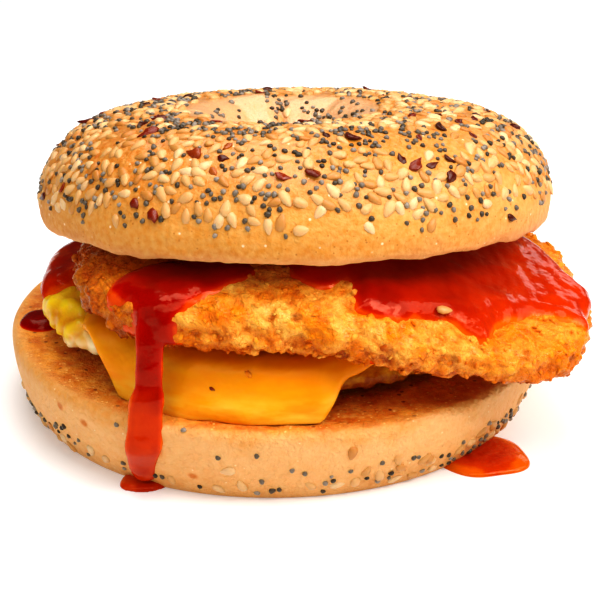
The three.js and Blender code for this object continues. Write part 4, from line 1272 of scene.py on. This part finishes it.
# %% [markdown]
# Hot sauce was poured over the cutlet. A wet layer keeps an even thickness and bulges at its
# edge, where surface tension holds it back. So a sauce patch is the skin below it, lifted along
# its normals by a rounded edge and cut out where the patch ends. The same helper coats the cutlet
# and the egg.

# %% Sauce layers
SAUCE_EDGE = 3.4  # millimetres over which a patch swells to its full thickness
BURIED = 0.9  # how far the margin around a patch dips under the skin
LAYER_BACK = BURIED + 0.5  # the depth of a layer's hidden side, which stays clear of that margin
THIN_EDGE, SHADE_WIDTH = 1.4, 14  # the widths of the pale edge and of the slow darkening behind it, which is painted shade


def fullness_and_shade(depth):
    """How full a layer is at a distance from its edge: 0.6 of it is reached in the first THIN_EDGE, and 0.4
    slowly, over the second, much wider width. That slow part darkens the sauce further in from its edge,
    where the crown overhangs it, and is painted shade."""
    return 0.6 * np.clip(depth / THIN_EDGE, 0, 1) + 0.4 * np.clip(depth / SHADE_WIDTH, 0, 1)


def layer_over(surface, normals, depth, thick, waves):
    """A closed layer on the part of a grid where depth, the distance inside the patch, is above zero. Its
    height is thick times 1 - (1 - depth / edge)^2, a round shoulder, and waves are added where it is full.
    Returns points, faces and how full the layer is at each point, a share that also carries painted shade
    further in from the edge."""
    share = np.clip(depth / SAUCE_EDGE, 0, 1)
    lifted = thick * (1 - (1 - share) ** 2) + waves * share + np.clip(depth, -BURIED, 0)
    rows, columns = depth.shape
    ids = np.arange(rows * columns).reshape(rows, columns)
    here, below = ids[1:-2], ids[2:-1]
    quads = np.stack([here, below, np.roll(below, -1, 1), np.roll(here, -1, 1)], axis=-1).reshape(-1, 4)
    quads = quads[(depth.ravel()[quads] > -BURIED).all(axis=1)]
    points = surface.reshape(-1, 3)
    first, second, _, fourth = points[quads.T]
    if (np.cross(second - first, fourth - first) * normals.reshape(-1, 3)[quads[:, 0]]).sum() < 0:
        quads = quads[:, ::-1]
    used, quads = np.unique(quads, return_inverse=True)
    quads = quads.reshape(-1, 4)
    count = len(used)
    starts, ends = quads.ravel(), np.roll(quads, -1, 1).ravel()
    lone = ~np.isin(starts * count + ends, ends * count + starts)
    border = np.stack([ends[lone], starts[lone], starts[lone] + count, ends[lone] + count], axis=1)
    lift = normals.reshape(-1, 3)[used]
    top = points[used] + lift * lifted.ravel()[used][:, None]
    bottom = points[used] - lift * LAYER_BACK
    faces = np.vstack([quads, quads[:, ::-1] + count, border]).tolist()
    return np.vstack([top, bottom]), faces, np.tile(fullness_and_shade(depth.ravel()[used]), 2)


def sauce_waves(points, height):
    """The sauce's own slow swell, drawn out along the way that it ran, with finer ripples."""
    return height * (soft_noise(points * [0.75, 1, 1], 8, 101) + 0.4 * soft_noise(points, 3.6, 102))


LEFT_FLOOR, RIGHT_FLOOR = 29.6, 25.4  # the levels that the two patches run down to
LEFT_PATCH = [
    [-34.9, -39.5], [-32.5, -42.1], [-30.3, -44.1], [-29.7, -50], [-29.6, -56], [-24, -56], [-23.6, -50],
    [-20.4, -46.5], [-14.7, -43], [-8.4, -37.5], [-9, -33], [-14, -31], [-25, -31.5], [-31, -34]]
RIGHT_PATCH = [
    [-2, -36], [0, -40.5], [3.2, -42.6], [6.3, -41.8], [9, -38.6], [10.1, -46.5], [17, -46.2],
    [21.6, -43.4], [26.4, -41.4], [30.8, -42.6], [33.9, -43.4], [36.8, -37.5], [45.2, -30.5],
    [51, -31], [60, -32], [58, -20], [51.5, -8], [46, 2], [37, 9], [24, 2], [12, -12], [-2, -24]]
COAT_ROWS, COAT_COLUMNS = 250, 740
coat_skin, _ = cutlet_skin(COAT_ROWS, COAT_COLUMNS, 0.4)
coat_normals = normals_of(coat_skin, ring=False)
sx, sy, sz = np.moveaxis(coat_skin, -1, 0)
ragged = 0.7 * rough_noise(coat_skin, 5, 3, 103)


def patch_depth(outline, floor_level):
    """How deep inside a patch each place of the cutlet's skin lies: inside its outline from
    above, and over the level that it ran down to."""
    return np.minimum(depth_inside(sx, sy, loop_through(outline, 160)), sz - floor_level) + ragged


# %% [markdown]
# The right patch covers the drooping end and hangs over its edge. It keeps to itself, so it is
# one layer.

# %% Right sauce
right_depth = patch_depth(RIGHT_PATCH, RIGHT_FLOOR + 0.9 * soft_noise(coat_skin, 9, 104))
points, faces, share = layer_over(coat_skin, coat_normals, right_depth, thick=1.6,
                                   waves=sauce_waves(coat_skin, 0.36))
# painted light: the right patch is painted lighter and more orange towards its right end, which the lamps
# reach, and stays in painted shade near the crown
glow = ease((points[:, 0] - 4) / 46)
sauce_right = make_piece("sauce_right", points, faces, {"full": share, "glow": glow},
                         "hot_sauce", "sauce_right")

# %% [markdown]
# The left patch runs over the near edge, down past the cheese and the heel, and ends in a
# small pool. Patch, run and pool are three closed meshes. A voxel remesh welds them into one
# skin, and smoothing rounds the joints as surface tension does.

# %% Left sauce, its run and its pool
RUN_LINE = [  # x, y, z and half the width of the run, from the cutlet to the floor
    [-26.7, -44.4, 37.0, 3.2], [-26.8, -46.0, 34.0, 3.3], [-26.9, -46.8, 30.6, 2.9],
    [-27.1, -47.4, 26.5, 2.6], [-27.3, -47.9, 22.5, 2.8], [-27.9, -48.6, 18.5, 3.2],
    [-28.2, -49.3, 14.0, 3.5], [-28.6, -49.3, 10.0, 3.5], [-29.0, -47.0, 6.0, 3.1],
    [-28.7, -45.0, 2.0, 2.6]]
RUN_THICK = 1.15
run_line = loop_through(RUN_LINE, 120, closed=False)


def run_tube(columns):
    """A flat tube along the run: wide across x, thin across the slope. Both ends close by a
    small power of the sine, so they stay blunt."""
    tangent = np.gradient(run_line[:, :3], axis=0)
    tangent /= np.linalg.norm(tangent, axis=1, keepdims=True)
    outward = np.cross(tangent, [1, 0, 0])
    closing = np.sin(np.linspace(0, math.pi, len(run_line))).clip(0) ** 0.12
    a = np.linspace(0, TAU, columns, endpoint=False)
    bulges = soft_noise(run_line[:, :3] * [1, 1, 1.4], 4, 105)
    wide = run_line[:, 3] * closing * (1 + 0.08 * bulges)
    across = wide[:, None, None] * np.cos(a)[None, :, None] * np.array([1.0, 0, 0])
    gathering = 0.4 + 0.6 * ease(np.linspace(0, 1, len(run_line)) * 4)  # thin where it leaves the patch
    deep = RUN_THICK * closing * gathering * (1 + 0.35 * bulges)
    out = deep[:, None, None] * np.sin(a)[None, :, None] * outward[:, None, :]
    return run_line[:, None, :3] + across + out


def pool(centre, radii, low, high, turn, seed, rows=60, columns=200, wavy=0.07):
    """A pool on a level: its outline is an ellipse with slow waves, and its upper side falls
    off to the edge with (1 - share^2.6)^0.42, so the edge is round and steep."""
    a = np.linspace(0, TAU, columns, endpoint=False)
    wave = 1 + wavy * (np.sin(3 * a + 1 + seed) + 0.6 * np.sin(5 * a + 2 * seed))
    share = np.sin(np.linspace(0, math.pi, rows)).clip(0)[:, None] ** 0.7
    x, y = radii[0] * wave * np.cos(a) * share, radii[1] * wave * np.sin(a) * share
    above = (np.arange(rows) < rows / 2)[:, None]
    rise = np.where(above, (high - low) * np.clip(1 - share**2.6, 0, 1) ** 0.42, 0) + 0 * a
    c, s = math.cos(turn), math.sin(turn)
    return np.stack([centre[0] + c * x - s * y, centre[1] + s * x + c * y, low + rise], axis=-1)


def welded(parts, voxel, rounds):
    """Joins closed meshes, given as (points, faces) in millimetres, into one smooth skin."""
    count, points, faces = 0, [], []
    for part_points, part_faces in parts:
        points.append(part_points)
        faces += [[corner + count for corner in face] for face in part_faces]
        count += len(part_points)
    mesh = bpy.data.meshes.new("parts")
    mesh.from_pydata(np.vstack(points).tolist(), [], faces)
    holder = bpy.data.objects.new("parts", mesh)
    bpy.context.scene.collection.objects.link(holder)
    remesh = holder.modifiers.new("weld", "REMESH")
    remesh.mode = "VOXEL"
    remesh.voxel_size = voxel
    rounding = holder.modifiers.new("round", "SMOOTH")
    rounding.iterations = rounds
    done = bpy.data.meshes.new_from_object(holder.evaluated_get(bpy.context.evaluated_depsgraph_get()))
    points = np.zeros(len(done.vertices) * 3)
    done.vertices.foreach_get("co", points)
    faces = [list(polygon.vertices) for polygon in done.polygons]
    bpy.data.objects.remove(holder)
    bpy.data.meshes.remove(mesh)
    bpy.data.meshes.remove(done)
    return points.reshape(-1, 3), faces


left_depth = patch_depth(LEFT_PATCH, LEFT_FLOOR)
patch = layer_over(coat_skin, coat_normals, left_depth, thick=1.05, waves=sauce_waves(coat_skin, 0.25))[:2]
front_pool = pool((-29.3, -43.1), (4.6, 3.6), low=0.0, high=1.5, turn=0, seed=1, wavy=0.03)
points, faces = welded([patch, closed_skin(run_tube(36)), closed_skin(front_pool)], voxel=0.3, rounds=5)
points[:, 2] = np.maximum(points[:, 2], 0.02)  # it rests on the floor


def fullness_and_shade_left(p):
    """How full the sauce is at a point, by its distance from the edge: inside the patch from above, or
    inside the run from the front. The slow darkening further in is painted shade."""
    over_patch = depth_inside(p[:, 0], p[:, 1], loop_through(LEFT_PATCH, 160))
    order = np.argsort(run_line[:, 2])
    middle = np.interp(p[:, 2], run_line[order, 2], run_line[order, 0])
    half = np.interp(p[:, 2], run_line[order, 2], run_line[order, 3])
    in_run = np.where(p[:, 1] < -40, half - np.abs(p[:, 0] - middle), 0)
    in_pool = np.where(p[:, 2] < 2.2, 0.8, 0)
    return fullness_and_shade(np.maximum.reduce([over_patch * (p[:, 2] > 30), 1.3 * in_run, in_pool]))


# painted light: the run is painted lighter and more orange as it falls below the crown's shade, a little
# less in the pool, and mottled
glow = ease((26 - points[:, 2]) / 12) * (0.8 + 0.2 * ease((points[:, 2] - 2) / 3))
glow = glow * (1.0 + 0.6 * soft_noise(points * [1, 1, 1.4], 3.2, 108))
sauce_left = make_piece("sauce_left_and_run", points, faces, {"full": fullness_and_shade_left(points), "glow": glow},
                        "hot_sauce", ("sauce_left", "sauce_drip"))

# %% [markdown]
# Three small bits of sauce remain: what soaked the egg's end, a blob on the heel, and the
# puddle that dripped off the right side.

# %% Small sauces
# each small bit carries one fixed amount of painted light
EGG_SAUCE = [[-60, -12], [-48, -13], [-42, -10], [-36, -4], [-34, 8], [-40, 20], [-60, 18]]
egg_normals = normals_of(egg_smooth, ring=False)
egg_depth = np.minimum(depth_inside(ex, ey, loop_through(EGG_SAUCE, 120)), ez - 23.4)
egg_depth = egg_depth + 0.8 * rough_noise(egg_smooth, 4, 3, 106)
points, faces, share = layer_over(egg_smooth, egg_normals, egg_depth, thick=1.8,
                                   waves=0.4 * soft_noise(egg_smooth, 4, 107))
egg_sauce_marks = {"full": 0.5 * share, "glow": 0.3 + 0 * share}
sauce_egg = make_piece("sauce_on_egg", points, faces, egg_sauce_marks, "hot_sauce", "sauce_on_egg")

blob_level = HEEL_HEIGHT + HEEL_SLOPE * (-51.8 - HEEL_AT[0])
blob = pool((-51.9, -4.4), (4.8, 5.3), low=blob_level - 0.4, high=17.3, turn=0.3, seed=2,
            rows=50, columns=120, wavy=0.03)
blob_marks = {"full": np.clip((blob[..., 2] - blob_level) / 0.5, 0, 1), "glow": 0 * blob[..., 2]}
sauce_heel = grid_piece("sauce_on_heel", blob, blob_marks, "hot_sauce", "sauce_on_heel")

PUDDLE_AT = (35.2, -32.6)
puddle = pool(PUDDLE_AT, (8.6, 8.3), low=0.0, high=1.6, turn=0.35, seed=3,
              rows=70, columns=220, wavy=0.06)
puddle_share = np.linalg.norm(puddle[..., :2] - PUDDLE_AT, axis=-1) / 8.4
puddle_marks = {"full": np.clip((1 - puddle_share) * 1.2, 0, 0.6), "glow": 0.8 + 0 * puddle_share}
sauce_puddle = grid_piece("sauce_puddle", puddle, puddle_marks, "hot_sauce", "sauce_pool")

# %% [markdown]
# Thick sauce is a deep red that swallows light. Where it thins out at an edge, the bread glows through and
# turns it orange. The mesh carries how full the layer is, whose slow darkening further in is painted shade,
# and a second mark of painted light that mixes a shaded and a lit red ramp. The surface is wet: almost no
# roughness, and only the faintest ripple.

# %% Sauce finish
def sauce_finish(name, shine):
    """Red by how full the layer is, and mixed from a shaded and a lit ramp by the painted light that the
    mesh carries. shine is the strength of its mirror: less where the sauce has soaked in."""
    sauce = Finish(name, Subsurface_Weight=0.1, Subsurface_Scale=0.001, Subsurface_Radius=(1.0, 0.1, 0.04),
                   Specular_IOR_Level=shine, Specular_Tint=(1, 0.38, 0.26, 1))
    patches = sauce.mottle(0.006, 0.16)
    thick = sauce.math("ADD", sauce.mark("full"), sauce.remap(patches, 0, 1, -0.25, 0.08))
    # deep is the shaded copy of the red and bright the lit copy; the painted light mixes them
    deep = sauce.ramp(thick, (0.0, 222, 76, 2), (0.2, 186, 20, 0), (0.55, 162, 4, 0), (1.0, 120, 0, 0))
    bright = sauce.ramp(thick, (0.0, 232, 108, 4), (0.2, 216, 70, 0), (0.55, 198, 52, 0), (1.0, 172, 28, 0))
    sauce.set(Base_Color=sauce.mix(sauce.mark("glow"), deep, bright),
              Roughness=sauce.remap(patches, 0, 1, 0.08, 0.15),
              Normal=sauce.grain(0.0011, 0.00005, 0.0036, 0.0003))
    return sauce


sauce_finish("hot_sauce", 0.56).dress(sauce_right, sauce_left, sauce_puddle)
sauce_finish("soaked_sauce", 0.2).dress(sauce_egg, sauce_heel)

# %% [markdown]
# A few strays show that it was made by hand: two sesame seeds on the sauce, some lone seeds on
# the heel's near side, a crumb and a dark speck on the cheese. Each is laid on the skin's grid
# point that lies closest to its place.

# %% Strays
def nearest_on(grid, normals, places, lift):
    """The grid points closest to some places, raised along their normals, and the normals."""
    best, facing = closest(grid, places), normals.reshape(-1, 3)
    return grid.reshape(-1, 3)[best] + facing[best] * np.reshape(lift, (-1, 1)), facing[best]


def stray(name, shape, skin, places, lift, sizes, finish, slot):
    """One or more loose bits that lie on a skin at given places."""
    spots, leans = nearest_on(*skin, places, lift)
    finish.dress(scatter(name, shape, spots, leans, np.array(sizes), rng, 0.0, 0.05, slot))


rng = np.random.default_rng(41)
SESAME_AT = [[-13.5, -51.5, 7.2], [-10.4, -50.6, 3.8], [9.6, -51.1, 10.5],
             [-43.8, -31.8, 2.3], [-39.6, -38.3, 4.6], [24.2, -43.1, 5.4]]
POPPY_AT = [[-33.6, -45.4, 13.5], [-21, -50.5, 15.1], [-14.7, -52.1, 10.2],
            [-7.4, -53, 11.1], [0.9, -51.6, 6.7], [-3.5, -50.4, 2.9],
            [-49.2, -27, 5.2], [-1.5, -52.2, 7.8], [6.4, -50, 4.5]]
coat, placed_heel = (coat_skin, coat_normals), (heel_placed, heel_normals)
slice_skin = cheese_grid, normals_of(cheese_grid, ring=False)
stray("stray_sesame", SESAME_SHAPE, coat, [[25.9, -41.0, 33.9], [41.7, -7.0, 32.6]], [1.6, 0.9],
      [SESAME_MEAN] * 2, sesame_hull, "hot_sauce")
stray("stray_heel_sesame", SESAME_SHAPE, placed_heel, SESAME_AT, 0,
      [SESAME_MEAN] * len(SESAME_AT), sesame_hull, "heel_crust")
stray("stray_heel_poppy", POPPY_SHAPE, placed_heel, POPPY_AT, 0.1,
      [POPPY_MEAN] * len(POPPY_AT), poppy_hull, "heel_crust")
stray("stray_crumb", CRUMB_SHAPE, slice_skin, [[-9.7, -48, 25.7]], 0.1,
      [(0.9, 0.5, 0.35)], crumb_gold, "cheese")
stray("stray_speck", CHIP_SHAPE, slice_skin, [[-16.3, -48, 22.3]], 0.05,
      [(0.6, 0.3, 0.15)], chilli_skin, "cheese")
